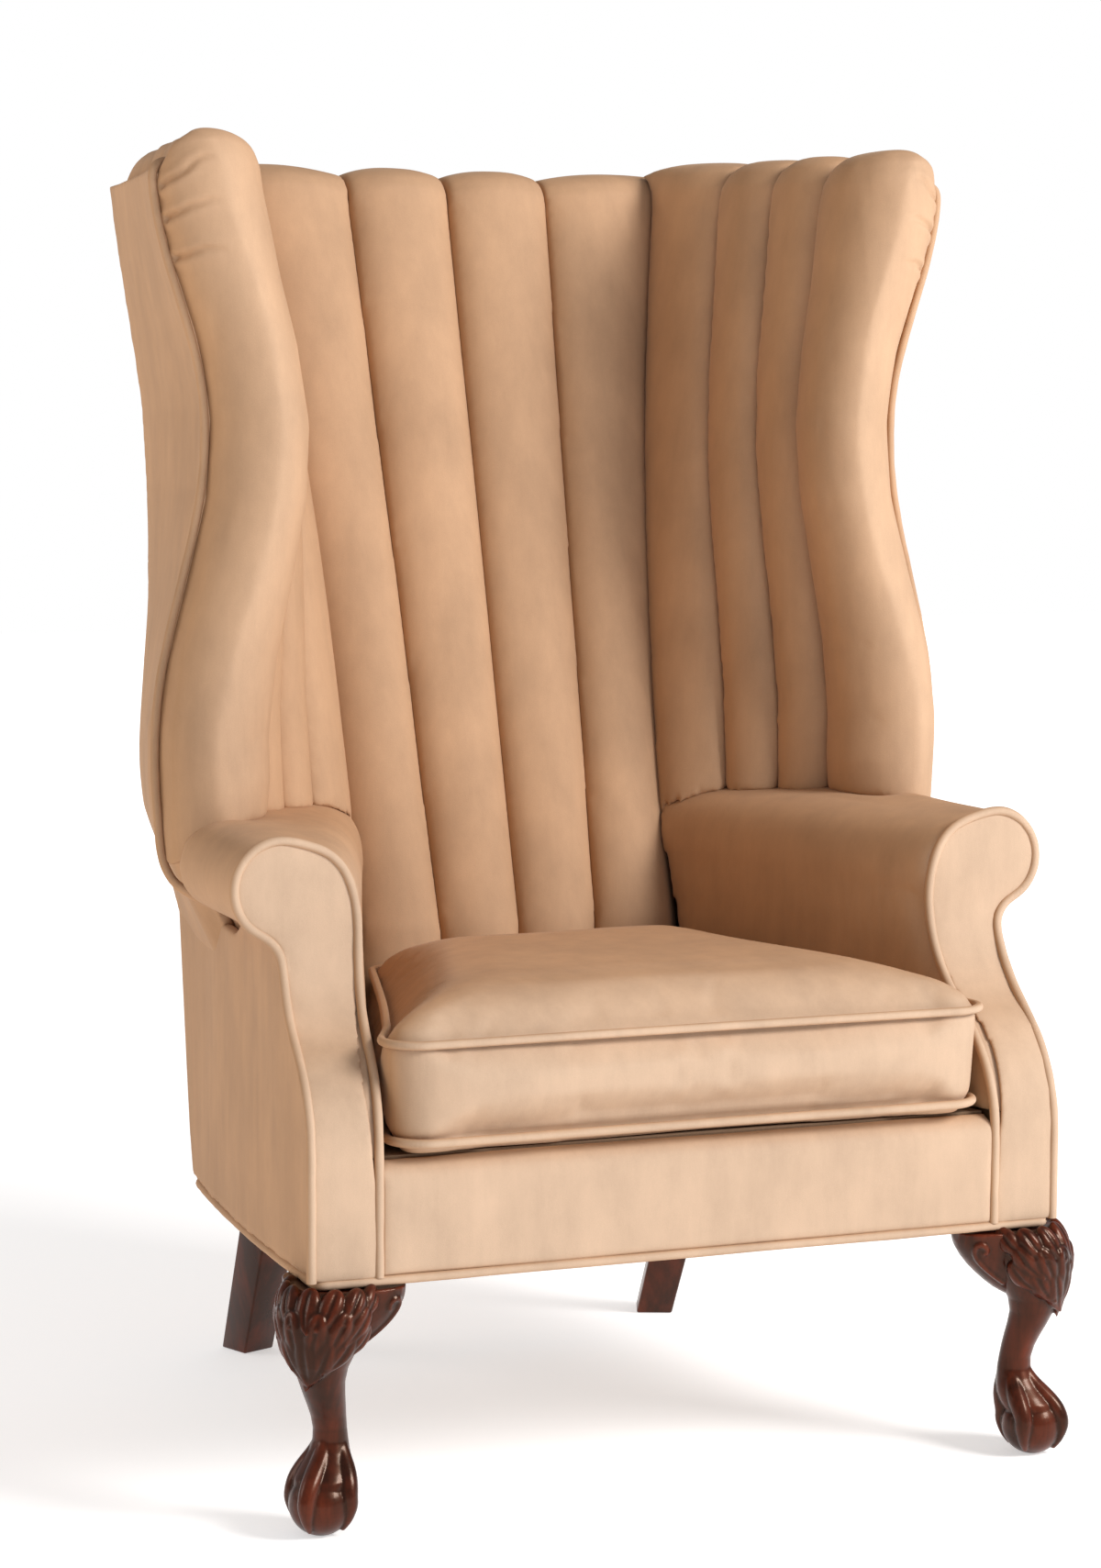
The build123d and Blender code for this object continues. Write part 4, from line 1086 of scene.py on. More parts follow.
@dataclass
class Arm:
    """One scroll arm: the pad, the S-shaped facing with its piping and the outside cover."""

    base: "Base"
    pad: Filling = Filling(0.0048, 6, 3.0, 0.0035, 0.75)
    panel: Filling = Filling(0.0026, 4, fill=0.4)
    cover: Filling = Filling(0.0030, 3, fill=0.3)
    pad_reach: float = 0.018
    panel_reach: float = 0.022
    cover_reach: float = 0.016
    sewn_share: float = 0.8
    welt: float = 0.0047
    stand_off: float = 0.0024
    cord_in: float = 0.003
    top: float = 0.626
    front: float = 0.114
    inner: float = 0.301
    inner_base: float = 0.319
    outer_base: float = 0.379
    shoulder: float = 0.548
    over_stops: Tuple[Pair, ...] = ((0.003, 0.572), (0.011, 0.596), (0.026, 0.612), (0.046, 0.620))
    scroll_x: float = 0.372
    scroll: float = 0.045
    waist: Pair = (0.371, 0.512)
    under_stops: Tuple[Pair, ...] = ((0.013, 0.026), (0.003, 0.013))
    sweep: Pair = (0.335, 0.545)
    foot: float = 0.237
    lift: float = 0.022
    lift_foot: float = 0.47
    lift_run: float = 0.04
    lift_rear: float = 0.32
    lift_fade: float = 0.05
    rake_run: float = 0.10

    def facing_depth(self, z: float) -> float:
        """Depth of the facing at a height: upright, then an S back to the scroll."""
        low, high = self.sweep
        half_run, half_rise = self.front / 2, (high - low) / 2
        radius = (half_run ** 2 + half_rise ** 2) / (2 * half_run)
        if z <= low:
            return 0.0
        if z >= high:
            return self.front
        if z <= (low + high) / 2:
            return radius - math.sqrt(radius ** 2 - (z - low) ** 2)
        return self.front - radius + math.sqrt(radius ** 2 - (high - z) ** 2)

    def outline(self) -> List[Pair]:
        """Points (x, z) round the right facing's edge, from its inner foot over the scroll down again."""
        low = self.sweep[0]
        inner = [(self.inner_base, self.foot + (low - self.foot) * i / 4) for i in range(5)]
        for t in (i / 7 for i in range(1, 7)):
            x = self.inner_base + (self.inner - self.inner_base) * eased(t)
            inner.append((x, low + (self.shoulder - low) * t))
        inner.append((self.inner, self.shoulder))
        over = [(self.inner + x, z) for x, z in self.over_stops]
        turns = [math.radians(90 - 20 * i) for i in range(8)]
        centre = self.top - self.scroll
        scroll = [(self.scroll_x + self.scroll * math.cos(turn), centre + self.scroll * math.sin(turn))
                  for turn in turns]
        x, z = self.waist
        under = [(x + out, z + up) for out, up in self.under_stops]
        outer = [(x + (self.outer_base - x) * i / 6, z + (low - z) * i / 6) for i in range(7)]
        foot = [(self.outer_base, low + (self.foot - low) * i / 4) for i in range(1, 5)]
        return inner + over + scroll + under + outer + foot

    def route(self) -> List[Point]:
        """The cord's line round the right facing, just outside its edge."""
        points = np.array(self.outline())
        ahead = np.gradient(points, axis=0)
        ahead /= np.linalg.norm(ahead, axis=1, keepdims=True)
        outward = np.stack((-ahead[:, 1], ahead[:, 0]), axis=1)
        points = points + outward * self.stand_off
        return [(x, depth(self.facing_depth(z) + self.cord_in), z) for x, z in points]

    def hang(self, skin: Skin) -> None:
        """Raises the cover's top under the scroll and rakes its rear to meet the outside back."""
        points = skin.points
        near = ramped(depth(self.lift_rear) - points[:, 1], self.lift_fade)
        points[:, 2] += self.lift * near * ramped(points[:, 2] - self.lift_foot, self.lift_run)
        rear = ramped(points[:, 1] - depth(self.base.length - self.rake_run), self.rake_run)
        points[:, 1] += self.base.rake * (points[:, 2] - self.base.rear_z) * rear

    def build(self) -> None:
        """Builds the right arm's pieces, copies them for the left and seats both."""
        route, hem = self.route(), self.base.route()
        pad = self.pad.skinned("pad_arm", [Side.RIGHT.node("arm_pad")])
        facing = self.panel.skinned("facing_arm", [Side.RIGHT.node("arm_facing")])
        cover = covered("cover_arm", Side.RIGHT.node("outside_arm"), SIDE_LAYER, self.cover)
        skin = Skin(cover)
        self.hang(skin)
        skin.write()
        for piece, reach in ((pad, self.pad_reach), (facing, self.panel_reach), (cover, self.cover_reach)):
            skin = Skin(piece)
            skin.draw_to(route, reach, self.sewn_share)
            skin.draw_to(hem, self.base.hem_reach, self.base.hem_share)
            skin.write()
        cord = Welt("welt_facing", route, self.welt).build()
        seat_both(((pad, "arm_pad", self.pad.fill), (facing, "arm_facing", self.panel.fill),
                   (cover, "outside_arm", self.cover.fill), (cord, "facing_piping", None)))


@dataclass
class Base:
    """The front border under the cushion and the piping round the bottom of the base."""

    border: Filling = Filling(0.0032, 4, fill=0.4)
    half_front: float = 0.379
    half_middle: float = 0.360
    half_rear: float = 0.322
    length: float = 0.600
    front_z: float = 0.234
    rear_z: float = 0.208
    inset: float = 0.0035
    rake: float = 0.17
    hem_reach: float = 0.012
    hem_share: float = 0.7
    side_stops: Tuple[float, ...] = (0.010, 0.022, 0.06, 0.15, 0.3, 0.45, 0.52)
    corner_stops: Tuple[float, ...] = (0.045, 0.028, 0.012)
    corner_draws: Pair = (0.005, 0.008)
    rear_stops: Tuple[float, ...] = (0.020, 0.032, 0.06, 0.15)
    front_stops: Tuple[float, ...] = (0.15, 0.06, 0.026, 0.014)
    end_x: float = 0.285
    end_run: float = 0.03
    end_stretch: float = 0.005
    cord_top: float = 0.36
    cord_x: float = 0.34
    cord_reach: float = 0.014
    cord_share: float = 0.75
    unevenness: float = 0.0012
    wave: Point = (0.11, 0.11, 0.06)
    seed: float = 8.0

    def half(self, y: float) -> float:
        """Half width of the base at a depth."""
        t = y / self.length
        return (2 * (t - 0.5) * (t - 1) * self.half_front - 4 * t * (t - 1) * self.half_middle
                + 2 * t * (t - 0.5) * self.half_rear)

    def height(self, y: float) -> float:
        """Height of the base's underside at a depth."""
        return self.front_z + (self.rear_z - self.front_z) * y / self.length

    def route(self) -> List[Point]:
        """Points round the bottom edge, close together at the corners."""
        near, far = self.inset, self.length - self.inset
        side = [near + 0.002, *self.side_stops, *(far - stop for stop in self.corner_stops)]
        right = [(self.half(y) - self.inset, y) for y in side]
        right[0] = (right[0][0] - self.corner_draws[0], near)
        right[-1] = (right[-1][0] - self.corner_draws[1], right[-1][1])
        rear = [(self.half(far) - x, far) for x in self.rear_stops]
        front = [(self.half(near) - x, near) for x in self.front_stops]
        loop = right + rear + [(-x, y) for x, y in reversed(rear)] + [(-x, y) for x, y in reversed(right)]
        loop += [(-x, y) for x, y in reversed(front)] + front
        return [(x, depth(y), self.height(y)) for x, y in loop]

    def build(self) -> None:
        """Builds and seats the border and the piping."""
        border = self.border.skinned("border_front", ["front_border"])
        skin = Skin(border)
        end = ramped(np.abs(skin.points[:, 0]) - self.end_x, self.end_run)
        skin.points[:, 0] += np.sign(skin.points[:, 0]) * self.end_stretch * end
        skin.draw_to(self.route(), self.hem_reach, self.hem_share)
        cord = [spot for spot in Arm(self).route() if spot[2] < self.cord_top and spot[0] < self.cord_x]
        for side in Side:
            skin.draw_to([(side.sign * x, y, z) for x, y, z in cord], self.cord_reach, self.cord_share)
        skin.ruffle(self.unevenness, self.wave, self.seed)
        skin.write()
        finished(border, Body.CHAIR, Slot.VELVET, ["front_border"])
        hem = Welt("welt_base", self.route(), closed=True).build()
        finished(hem, Body.CHAIR, Slot.VELVET, ["base_piping"])


@dataclass
class Cushion:
    """The loose seat cushion with a cord round its top and bottom edges."""

    filling: Filling = Filling(0.0046, 6, 4.0, 0.009, 0.8, 20)
    cord: Filling = Filling(0.0021, 3)
    nodes: Tuple[str, ...] = ("cushion_top", "cushion_boxing", "cushion_bottom", "cushion_core")
    fullness: float = 0.010
    full_run: float = 0.100
    full_foot: float = 0.36
    full_rise: float = 0.09
    full_half: float = 0.25
    high: float = 0.450
    low: float = 0.359
    deck: float = 0.3462
    bow: float = 0.0050
    sag: float = 0.011
    sag_half: float = 0.318
    sag_front: float = 0.006
    sag_fade: Pair = (0.12, 0.10)
    evening: int = 5
    unevenness: float = 0.0014
    wave: Point = (0.16, 0.16, 0.16)
    seed: float = 2.0

    def widen(self, skin: Skin) -> None:
        """Fills out the front corners, most at the top, where the facings sweep away from them."""
        points = skin.points
        ahead = eased(ramped(depth(self.full_run) - points[:, 1], self.full_run))
        rise = ramped(points[:, 2] - self.full_foot, self.full_rise)
        bulge = self.fullness * ahead * (0.4 + 0.6 * rise)
        points[:, 0] += np.clip(points[:, 0] / self.full_half, -1.0, 1.0) * bulge

    def stuff(self, skin: Skin) -> None:
        """Swells the boxing out between its cords and lets the underside belly down behind the front cord."""
        points, normals = skin.points, skin.normals
        middle, half = (self.high + self.low) / 2, (self.high - self.low) / 2 + 0.004
        bow = np.clip(1.0 - np.abs((points[:, 2] - middle) / half) ** 8, 0.0, 1.0)
        level = np.clip(1.3 - 1.6 * np.abs(normals[:, 2]), 0.0, 1.0)
        points[:, :2] += normals[:, :2] * (self.bow * bow * level)[:, None]
        behind = ramped(points[:, 1] - points[:, 1].min() - self.sag_front, 0.026)
        inside = ramped(self.sag_half - np.abs(points[:, 0]), 0.03)
        fade = 1.0 - ramped(points[:, 1] - depth(self.sag_fade[0]), self.sag_fade[1])
        under = ramped(self.low + 0.002 - points[:, 2], 0.004)
        points[:, 2] -= self.sag * under * behind * inside * fade
        points[:, 2] = np.maximum(points[:, 2], self.deck)

    def build(self) -> None:
        """Builds and seats the cushion and its cords."""
        body = self.filling.skinned("cushion", self.nodes)
        skin = Skin(body)
        self.stuff(skin)
        skin.write()
        smoothed(body, self.evening)
        skin = Skin(body)
        self.widen(skin)
        skin.ruffle(self.unevenness, self.wave, self.seed)
        skin.write()
        finished(body, Body.CUSHION, Slot.VELVET, self.nodes)
        for edge in ("top", "bottom"):
            node = f"cushion_{edge}_piping"
            cord = self.cord.skinned(f"cushion_welt_{edge}", [node])
            skin = Skin(cord)
            self.widen(skin)
            skin.write()
            finished(cord, Body.CUSHION, Slot.VELVET, [node])


@dataclass(frozen=True)
class Ring:
    """One section of the leg's trunk: its height, its shift along the outward diagonal and its half size."""

    z: float
    shift: float
    half: float


@dataclass(frozen=True)
class Leaf:
    """One lobe of the knee's carved foliage, on the diagonal or one of a pair beside it."""

    turn: float
    top: float
    length: float
    width: float
    lean: float = 0.0
    curl: float = 0.0

    def both(self) -> List["Leaf"]:
        """The lobe and its twin across the diagonal, if it has one."""
        if not self.turn:
            return [self]
        return [self, replace(self, turn=-self.turn, lean=-self.lean, curl=-self.curl)]


@dataclass
class FrontLeg:
    """Cabriole leg with a leaf-carved knee, carved ears and a claw-and-ball foot."""

    axis: Pair = (0.341, 0.042)
    seat: float = 0.2258
    stub_top: float = 0.246
    stub: float = 0.025
    voxel: float = 0.0013
    ball: float = 0.0300
    ball_shift: float = 0.0400
    web: float = 0.045
    ear_forward: float = 0.018
    ear_top: float = 0.2275
    rings: Tuple[Ring, ...] = (
        Ring(0.2290, 0.0150, 0.0395), Ring(0.2230, 0.0190, 0.0420), Ring(0.2120, 0.0245, 0.0428),
        Ring(0.200, 0.0290, 0.0420), Ring(0.185, 0.0335, 0.0375), Ring(0.170, 0.0370, 0.0312),
        Ring(0.156, 0.0390, 0.0250), Ring(0.142, 0.0375, 0.0214), Ring(0.129, 0.0330, 0.0194),
        Ring(0.118, 0.0285, 0.0178), Ring(0.107, 0.0245, 0.0164), Ring(0.095, 0.0216, 0.0158),
        Ring(0.084, 0.0208, 0.0166), Ring(0.075, 0.0226, 0.0188), Ring(0.067, 0.0256, 0.0220),
        Ring(0.059, 0.0300, 0.0252), Ring(0.052, 0.0345, 0.0270), Ring(0.046, 0.0375, 0.0266),
        Ring(0.041, 0.0390, 0.0240),
    )
    smoothing: int = 2
    leaves: Tuple[Leaf, ...] = (
        Leaf(0, 0.192, 0.056, 0.0120, 0, -10), Leaf(27, 0.192, 0.052, 0.0115, 16, 12),
        Leaf(54, 0.196, 0.046, 0.0110, 22, 16), Leaf(82, 0.204, 0.042, 0.0108, 24, 16),
        Leaf(14, 0.214, 0.052, 0.0118, 8, -16), Leaf(42, 0.216, 0.048, 0.0115, 16, -14),
        Leaf(70, 0.220, 0.044, 0.0110, 20, 14), Leaf(0, 0.236, 0.046, 0.0115, 0, 14),
        Leaf(28, 0.236, 0.045, 0.0112, 10, 14), Leaf(56, 0.236, 0.042, 0.0108, 14, 14),
        Leaf(84, 0.236, 0.038, 0.0104, 16, 14),
    )
    leaf_thick: float = 0.0074
    leaf_flick: float = 0.0058
    leaf_crease: float = 0.38
    toes: int = 4
    toe_stops: Tuple[Point, ...] = (
        (0.100, 0.0030, 0.0070), (0.084, 0.0075, 0.0080), (0.070, 0.0135, 0.0090), (0.058, 0.0210, 0.0098),
        (0.048, 0.0262, 0.0094), (0.038, 0.0285, 0.0086), (0.030, 0.0292, 0.0084), (0.021, 0.0280, 0.0062),
        (0.013, 0.0252, 0.0044), (0.006, 0.0215, 0.0020))
    toe_sweep: Sweep = Sweep(0.01, order=3, rounding=5)
    ear_smoothing: int = 3
    ear_cut: float = -0.0004
    rim_sweep: Sweep = Sweep(0.0030)
    ear_stops: Tuple[Point, ...] = (
        (-0.010, 0.0300, 0.072), (0.002, 0.0300, 0.066), (0.012, 0.0300, 0.060), (0.022, 0.0295, 0.0525),
        (0.031, 0.0280, 0.0445), (0.039, 0.0260, 0.0365), (0.046, 0.0225, 0.0280), (0.0515, 0.0170, 0.0195),
        (0.0545, 0.0090, 0.0105))
    ear_rim: Tuple[Pair, ...] = (
        (0.008, 0.86), (0.018, 0.84), (0.028, 0.82), (0.037, 0.78), (0.0435, 0.66), (0.0445, 0.44),
        (0.040, 0.28), (0.034, 0.30), (0.032, 0.44), (0.0355, 0.52))

    @property
    def outward(self) -> Vector:
        """Diagonal direction in which the right leg's knee swells."""
        return Vector((1.0, -1.0, 0.0)).normalized()

    @property
    def across(self) -> Vector:
        """Level direction at a right angle to the diagonal."""
        return Vector((1.0, 1.0, 0.0)).normalized()

    @property
    def hub(self) -> Vector:
        """Foot point of the leg's upright axis."""
        return Vector((self.axis[0], depth(self.axis[1]), 0.0))

    def section(self, z: float) -> Tuple[Vector, float]:
        """Centre and half size of the trunk at a height."""
        heights = [ring.z for ring in reversed(self.rings)]
        shift = float(np.interp(z, heights, [ring.shift for ring in reversed(self.rings)]))
        half = float(np.interp(z, heights, [ring.half for ring in reversed(self.rings)]))
        return self.hub + self.outward * shift + Vector((0.0, 0.0, z)), half

    def on_knee(self, turn: float, z: float) -> Vector:
        """Point of the trunk's skin at an angle from the diagonal and a height."""
        centre, half = self.section(z)
        angle = math.radians(turn)
        return centre + (self.outward * math.cos(angle) + self.across * math.sin(angle)) * half

    def trunk(self) -> Piece:
        """Trunk from the stub in the seat frame down to the webs over the ball."""
        bpy.ops.object.select_all(action="DESELECT")
        start = self.hub + Vector((0.0, 0.0, self.stub_top))
        bpy.ops.mesh.primitive_circle_add(vertices=40, radius=self.stub, fill_type="NGON", location=start)
        piece = bpy.context.view_layer.objects.active
        bpy.ops.object.transform_apply(location=True, rotation=True, scale=True)
        here, size = start, self.stub
        stops = [(self.hub + Vector((0.0, 0.0, self.seat)), self.stub)]
        stops += [self.section(ring.z) for ring in self.rings]
        with editing(piece):
            for centre, half in stops:
                bpy.ops.mesh.extrude_region_move(TRANSFORM_OT_translate={"value": centre - here})
                bpy.ops.transform.resize(value=(half / size,) * 3, center_override=centre)
                here, size = centre, half
            turn_outwards()
        return piece

    def leaf(self, leaf: Leaf) -> Piece:
        """One carved lobe lying on the knee, pointed and curling at its tip."""
        bpy.ops.object.select_all(action="DESELECT")
        bpy.ops.mesh.primitive_uv_sphere_add(segments=20, ring_count=16, radius=1.0)
        piece = bpy.context.view_layer.objects.active
        points = points_of(piece)
        along = points[:, 2]
        taper = np.where(along < 0, np.clip(1 + along, 0, 1) ** 0.35, 1.0) * (1 + 0.15 * along)
        crease = self.leaf_crease * np.exp(-(points[:, 0] / 0.2) ** 2) * np.clip(points[:, 1], 0, 1)
        width = points[:, 0] * leaf.width * taper
        thick = (points[:, 1] - crease) * self.leaf_thick * taper
        curl = math.radians(leaf.curl)
        sway = math.sin(curl) * leaf.length * 0.5 * np.clip(-along, 0, 1) ** 2
        flick = self.leaf_flick * np.clip(-along - 0.2, 0, 1) ** 2
        set_points(piece, np.stack((width + sway, thick + flick, along * leaf.length / 2), axis=1))
        middle = leaf.top - leaf.length / 2
        place = self.on_knee(leaf.turn, middle)
        low, high = (self.on_knee(leaf.turn, middle + step) for step in (-0.012, 0.012))
        down = (low - high).normalized()
        side = (self.on_knee(leaf.turn + 6, middle) - self.on_knee(leaf.turn - 6, middle)).normalized()
        outward = side.cross(-down).normalized()
        side = (-down).cross(outward) * -1.0
        turn = Matrix((side, outward, -down)).transposed()
        lean = Matrix.Rotation(math.radians(-leaf.lean), 3, "Y")
        piece.data.transform(Matrix.Translation(place) @ (turn @ lean).to_4x4())
        with editing(piece):
            turn_outwards()
        return piece

    def toe(self, turn: float) -> Piece:
        """One talon: a sinew from the ankle over the knuckles to a claw on the ball."""
        angle = math.radians(turn)
        way = self.outward * math.cos(angle) + self.across * math.sin(angle)
        foot = self.hub + self.outward * self.ball_shift
        stops = []
        for z, reach, radius in self.toe_stops:
            centre = self.section(z)[0] if z > self.web else foot
            spot = centre + way * reach
            stops.append(((spot.x, spot.y, z), radius / self.toe_sweep.radius))
        return self.toe_sweep.along("toe", stops)

    def round_ball(self) -> Piece:
        """The gripped ball, a little flat where it stands."""
        bpy.ops.object.select_all(action="DESELECT")
        centre = self.hub + self.outward * self.ball_shift + Vector((0.0, 0.0, self.ball * 0.965))
        bpy.ops.mesh.primitive_uv_sphere_add(segments=40, ring_count=24, radius=self.ball, location=centre)
        piece = bpy.context.view_layer.objects.active
        bpy.ops.object.transform_apply(location=True, rotation=True, scale=True)
        return piece

    def ear(self, way: Vector, name: str) -> Piece:
        """Carved bracket that swells from the knee out under the base, with a scroll on its face.

        Args:
            way: Level direction from the leg.
            name: Name of the piece.

        Returns:
            The bracket's mesh.
        """
        bpy.ops.object.select_all(action="DESELECT")
        upright = (math.pi / 2, 0.0, 0.0)
        bpy.ops.mesh.primitive_circle_add(vertices=32, radius=1.0, fill_type="NGON", rotation=upright)
        piece = bpy.context.view_layer.objects.active
        bpy.ops.object.transform_apply(location=True, rotation=True, scale=True)
        up = Vector((0.0, 0.0, 1.0))
        face = Matrix((up.cross(way), way, up)).transposed().to_4x4()
        ahead = (self.outward - way * self.outward.dot(way)).normalized()
        top = self.hub + ahead * self.ear_forward + up * self.ear_top
        reach, wide, deep = self.ear_stops[0]
        with editing(piece):
            bpy.ops.transform.resize(value=(wide, 1.0, deep), center_override=(0.0, 0.0, 0.0))
            bpy.ops.transform.translate(value=(0.0, reach, 0.0))
            for far, half, drop in self.ear_stops[1:]:
                bpy.ops.mesh.extrude_region_move(TRANSFORM_OT_translate={"value": (0.0, far - reach, 0.0)})
                growth = (half / wide, 1.0, drop / deep)
                bpy.ops.transform.resize(value=growth, center_override=(0.0, far, 0.0))
                reach, wide, deep = far, half, drop
            bpy.ops.mesh.select_all(action="SELECT")
            cut = up * self.ear_cut
            bpy.ops.mesh.bisect(plane_co=cut, plane_no=up, use_fill=True, clear_outer=True)
            turn_outwards()
        piece.data.transform(Matrix.Translation(top) @ face)
        return joined(name, [piece, self.ear_scroll(top, way, ahead)])

    def ear_scroll(self, top: Vector, way: Vector, ahead: Vector) -> Piece:
        """Raised rim on an ear's outer face, curling into a small scroll at its tip."""
        reaches, halves, drops = (np.array(column) for column in zip(*self.ear_stops))
        stops = []
        for index, (reach, share) in enumerate(self.ear_rim):
            half, drop = float(np.interp(reach, reaches, halves)), float(np.interp(reach, reaches, drops))
            spot = top + way * reach + ahead * (half * math.sqrt(1 - share ** 2))
            thickness = 0.55 + 0.45 * math.sin(math.pi * (index + 1) / (len(self.ear_rim) + 1))
            stops.append((spot - Vector((0.0, 0.0, drop * share)), thickness))
        return self.rim_sweep.along("scroll", stops)

    def build(self) -> None:
        """Carves the right leg and its ears, copies them for the left and seats them."""
        parts = [self.trunk(), self.round_ball()]
        parts += [self.leaf(leaf) for pair in self.leaves for leaf in pair.both()]
        parts += [self.toe(360.0 * number / self.toes) for number in range(self.toes)]
        leg = joined("leg_front", parts)
        remeshed(leg, self.voxel, self.smoothing)
        points = points_of(leg)
        points[:, 2] = np.maximum(points[:, 2], 0.0)
        set_points(leg, points)
        paint_carving_shade(leg)
        left = mirrored(leg, "leg_front_left")
        leg.name = "leg_front_right"
        finished(left, Body.CHAIR, Slot.MAHOGANY, ["left_front_leg"])
        finished(leg, Body.CHAIR, Slot.MAHOGANY, ["right_front_leg"])
        ways = (("ear_front", (-1.0, 0.0, 0.0)), ("ear_side", (0.0, 1.0, 0.0)))
        pair = joined("knee_ears", [self.ear(Vector(way), name) for name, way in ways])
        remeshed(pair, self.voxel, self.ear_smoothing)
        whole = joined("knee_ears", [pair, mirrored(pair, "knee_ears_left")])
        paint_carving_shade(whole)
        finished(whole, Body.CHAIR, Slot.MAHOGANY, ["knee_brackets"])


def paint_carving_shade(piece: Piece) -> None:
    """Marks how far each point of a carving stands proud, as painted shade in its hollows and painted light
    on its ridges.
    """
    sharp = points_of(piece)
    normals = Skin(piece).normals
    smoothed(piece, 14, 0.6)
    proud = np.einsum("ij,ij->i", sharp - points_of(piece), normals)
    set_points(piece, sharp)
    values = np.clip(0.92 + proud / 0.0016, 0.25, 1.3)
    store_painted_shade(piece, values)


def store_painted_shade(piece: Piece, values: np.ndarray) -> None:
    """Stores each point's factor of painted shade and light, where the finish reads it."""
    layer = piece.data.attributes.new(PAINTED_CARVING_SHADE, "FLOAT", "POINT")
    layer.data.foreach_set("value", values)


@dataclass
class RearLegs:
    """The plain square rear legs, their arrises softened."""

    arris: float = 0.0022
    flat: float = 0.02
    # Even painted-shade factor over each rear leg, which has no carving.
    shade: float = 0.95
    crease: float = 0.6

    def build(self) -> None:
        """Builds and seats both rear legs."""
        for side in Side:
            node = side.node("rear_leg")
            piece = copied(f"leg_rear_{side.value}", [node])
            with editing(piece):
                bpy.ops.mesh.dissolve_limited(angle_limit=self.flat)
                bpy.ops.mesh.bevel(offset=self.arris, segments=3, affect="EDGES")
            store_painted_shade(piece, np.full(len(piece.data.vertices), self.shade))
            finished(piece, Body.CHAIR, Slot.MAHOGANY, [node])
            pick(piece)
            bpy.ops.object.shade_smooth_by_angle(angle=self.crease)


def dress_inside() -> None:
    """Gives the CAD nodes that stay their finishes."""
    slots = {entry["node"]: Slot(entry["material_slot"]) for entry in frame["record"]["subparts"]}
    for name, node in frame["nodes"].items():
        if not node.hide_render:
            WARDROBE.dress(node, slots[name])
            log.info("%s: dressed in %s", name, slots[name].value)


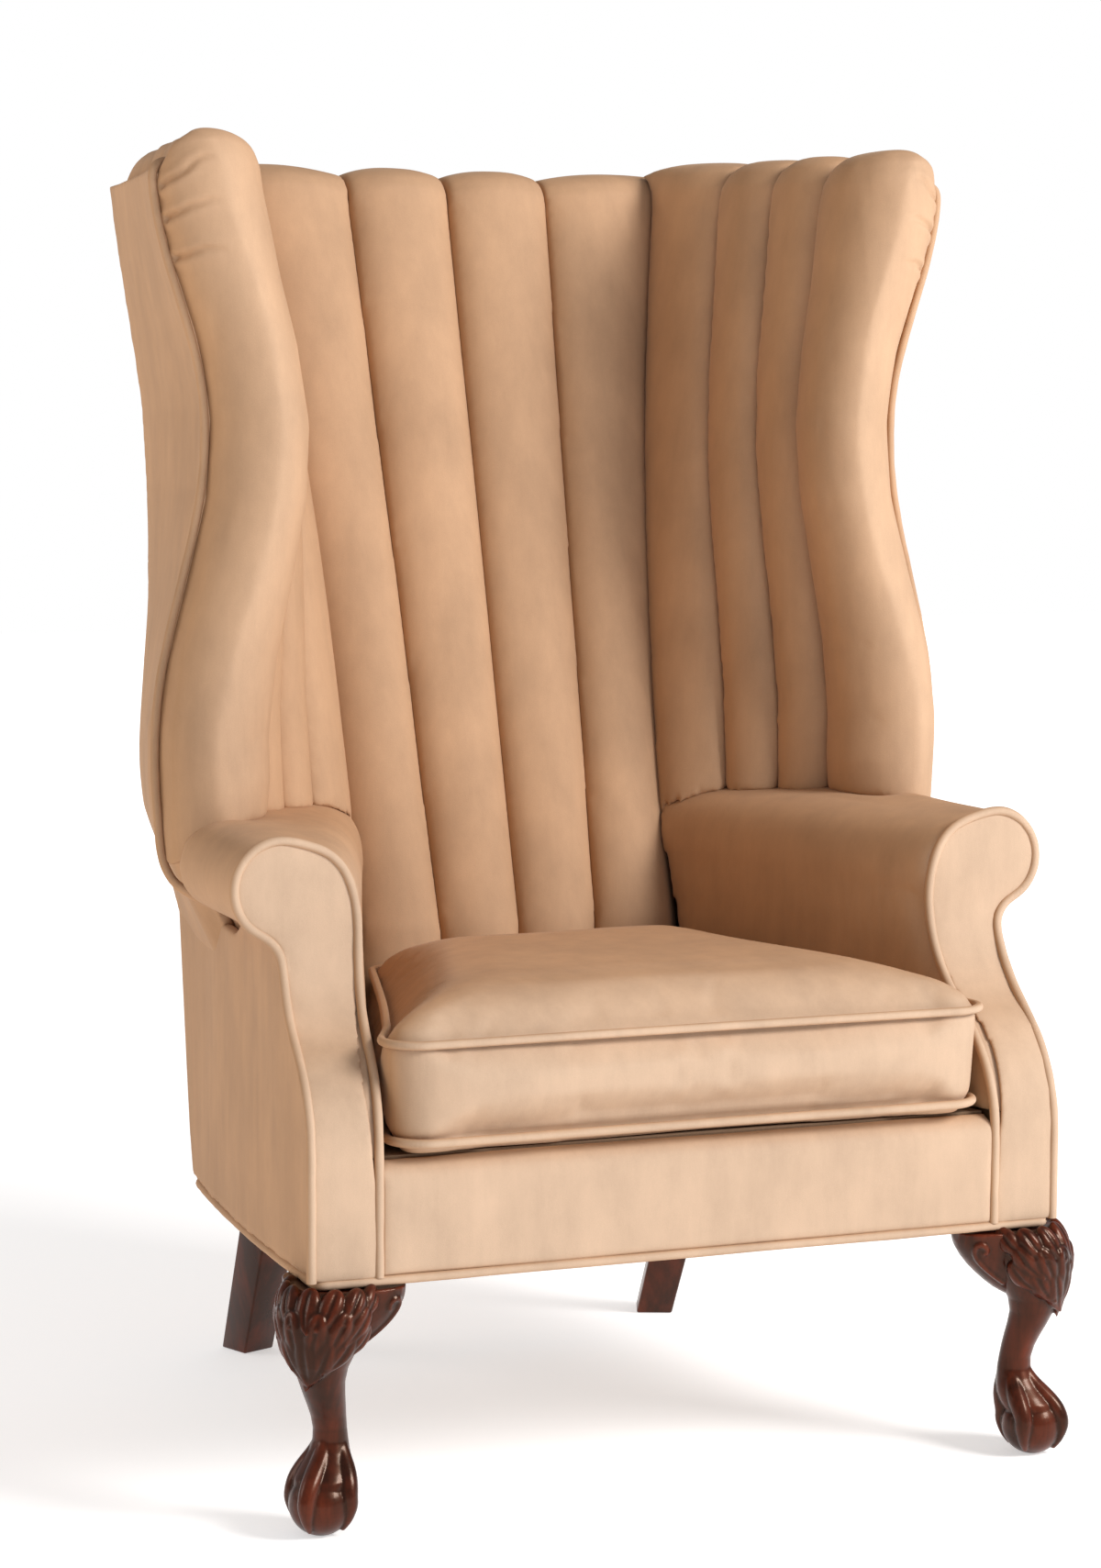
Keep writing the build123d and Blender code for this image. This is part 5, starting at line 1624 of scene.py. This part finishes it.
@dataclass
class Studio:
    """Pale floor, soft light and the camera at the photograph's angle."""

    spot: Point = (-1.3712, -3.068, 1.037)
    yaw: float = 0.37821
    pitch: float = 0.10643
    roll: float = 0.0051
    lens: float = 83.327
    surround: float = 0.39
    glow: float = 0.50
    glow_near: float = 1.2
    glow_far: float = 5.0
    key: Point = (2.65, -3.05, 2.75)
    side: Point = (-3.6, 1.0, 1.7)

    def camera(self) -> None:
        """Sets up the camera."""
        data = bpy.data.cameras.new("camera")
        data.sensor_fit = "AUTO"
        data.sensor_width = 36.0
        data.lens = self.lens
        data.clip_end = 100.0
        ahead = Vector((math.sin(self.yaw) * math.cos(self.pitch), math.cos(self.yaw) * math.cos(self.pitch),
                        -math.sin(self.pitch)))
        right = Vector((math.cos(self.yaw), -math.sin(self.yaw), 0.0))
        up = right.cross(ahead)
        turned = right * math.cos(self.roll) + up * math.sin(self.roll)
        raised = up * math.cos(self.roll) - right * math.sin(self.roll)
        camera = bpy.data.objects.new("camera", data)
        bpy.context.scene.collection.objects.link(camera)
        turn = Matrix((turned, raised, -ahead)).transposed().to_4x4()
        camera.matrix_world = Matrix.Translation((self.spot[0], depth(self.spot[1]), self.spot[2])) @ turn
        bpy.context.scene.camera = camera

    def lamp(self, name: str, place: Point, aim: Point, size: float, power: float, colour: Colour) -> None:
        """Adds a soft area light.

        Args:
            name: Name of the light.
            place: Where it stands.
            aim: Point that it faces.
            size: Side of the square.
            power: Watts.
            colour: Colour of the light.
        """
        data = bpy.data.lights.new(name, "AREA")
        data.energy = power
        data.size = size
        data.color = colour
        light = bpy.data.objects.new(name, data)
        bpy.context.scene.collection.objects.link(light)
        light.location = place
        light.rotation_euler = (Vector(aim) - Vector(place)).to_track_quat("-Z", "Y").to_euler()

    def floor(self) -> None:
        """Lays a flat pale floor that glows as painted light, more with distance."""
        bpy.ops.object.select_all(action="DESELECT")
        bpy.ops.mesh.primitive_plane_add(size=24.0)
        ground = bpy.context.view_layer.objects.active
        ground.name = "studio_floor"
        desk = NodeDesk("studio_paper")
        away = desk.vector("LENGTH", desk.place())
        glow = desk.add("ShaderNodeMapRange", Value=away.outputs["Value"], From_Min=self.glow_near,
                        From_Max=self.glow_far, To_Min=self.glow, To_Max=1.0)
        desk.shade(Base_Color=(0.85, 0.84, 0.84, 1.0), Roughness=0.9, Specular_IOR_Level=0.1,
                   Emission_Color=(1.0, 1.0, 1.0, 1.0), Emission_Strength=glow.outputs["Result"])
        ground.data.materials.append(desk.material)

    def build(self) -> None:
        """Builds the whole stage."""
        self.camera()
        self.floor()
        self.sky()
        self.lamp("key", self.key, (0.0, 0.0, 0.7), 1.5, 204.0, (1.0, 0.985, 0.97))
        self.lamp("side", self.side, (0.0, 0.1, 0.7), 1.8, 30.0, (1.0, 0.98, 0.97))
        bpy.context.scene.view_settings.view_transform = "Standard"

    def sky(self) -> None:
        """Hangs a white backdrop that lights the chair only dimly, so that the lamps model it."""
        world = bpy.data.worlds.new("studio")
        bpy.context.scene.world = world
        world.use_nodes = True
        tree = world.node_tree
        dim = tree.nodes["Background"]
        dim.inputs["Color"].default_value = (1.0, 1.0, 1.0, 1.0)
        dim.inputs["Strength"].default_value = self.surround
        backdrop = tree.nodes.new("ShaderNodeBackground")
        backdrop.inputs["Color"].default_value = (1.0, 1.0, 1.0, 1.0)
        ray = tree.nodes.new("ShaderNodeLightPath")
        mix = tree.nodes.new("ShaderNodeMixShader")
        tree.links.new(ray.outputs["Is Camera Ray"], mix.inputs["Fac"])
        tree.links.new(dim.outputs["Background"], mix.inputs[1])
        tree.links.new(backdrop.outputs["Background"], mix.inputs[2])
        tree.links.new(mix.outputs["Shader"], tree.nodes["World Output"].inputs["Surface"])


def main() -> None:
    """Builds the chair piece by piece and sets the stage."""
    logging.basicConfig(level=logging.INFO, format="%(message)s")
    base = Base()
    for assembly in (Back(), Wing(), Arm(base), base, Cushion(), FrontLeg(), RearLegs()):
        started = time.time()
        assembly.build()
        log.info("%s took %.1f s", type(assembly).__name__, time.time() - started)
    dress_inside()
    Studio().build()


if __name__ == "__main__":
    main()
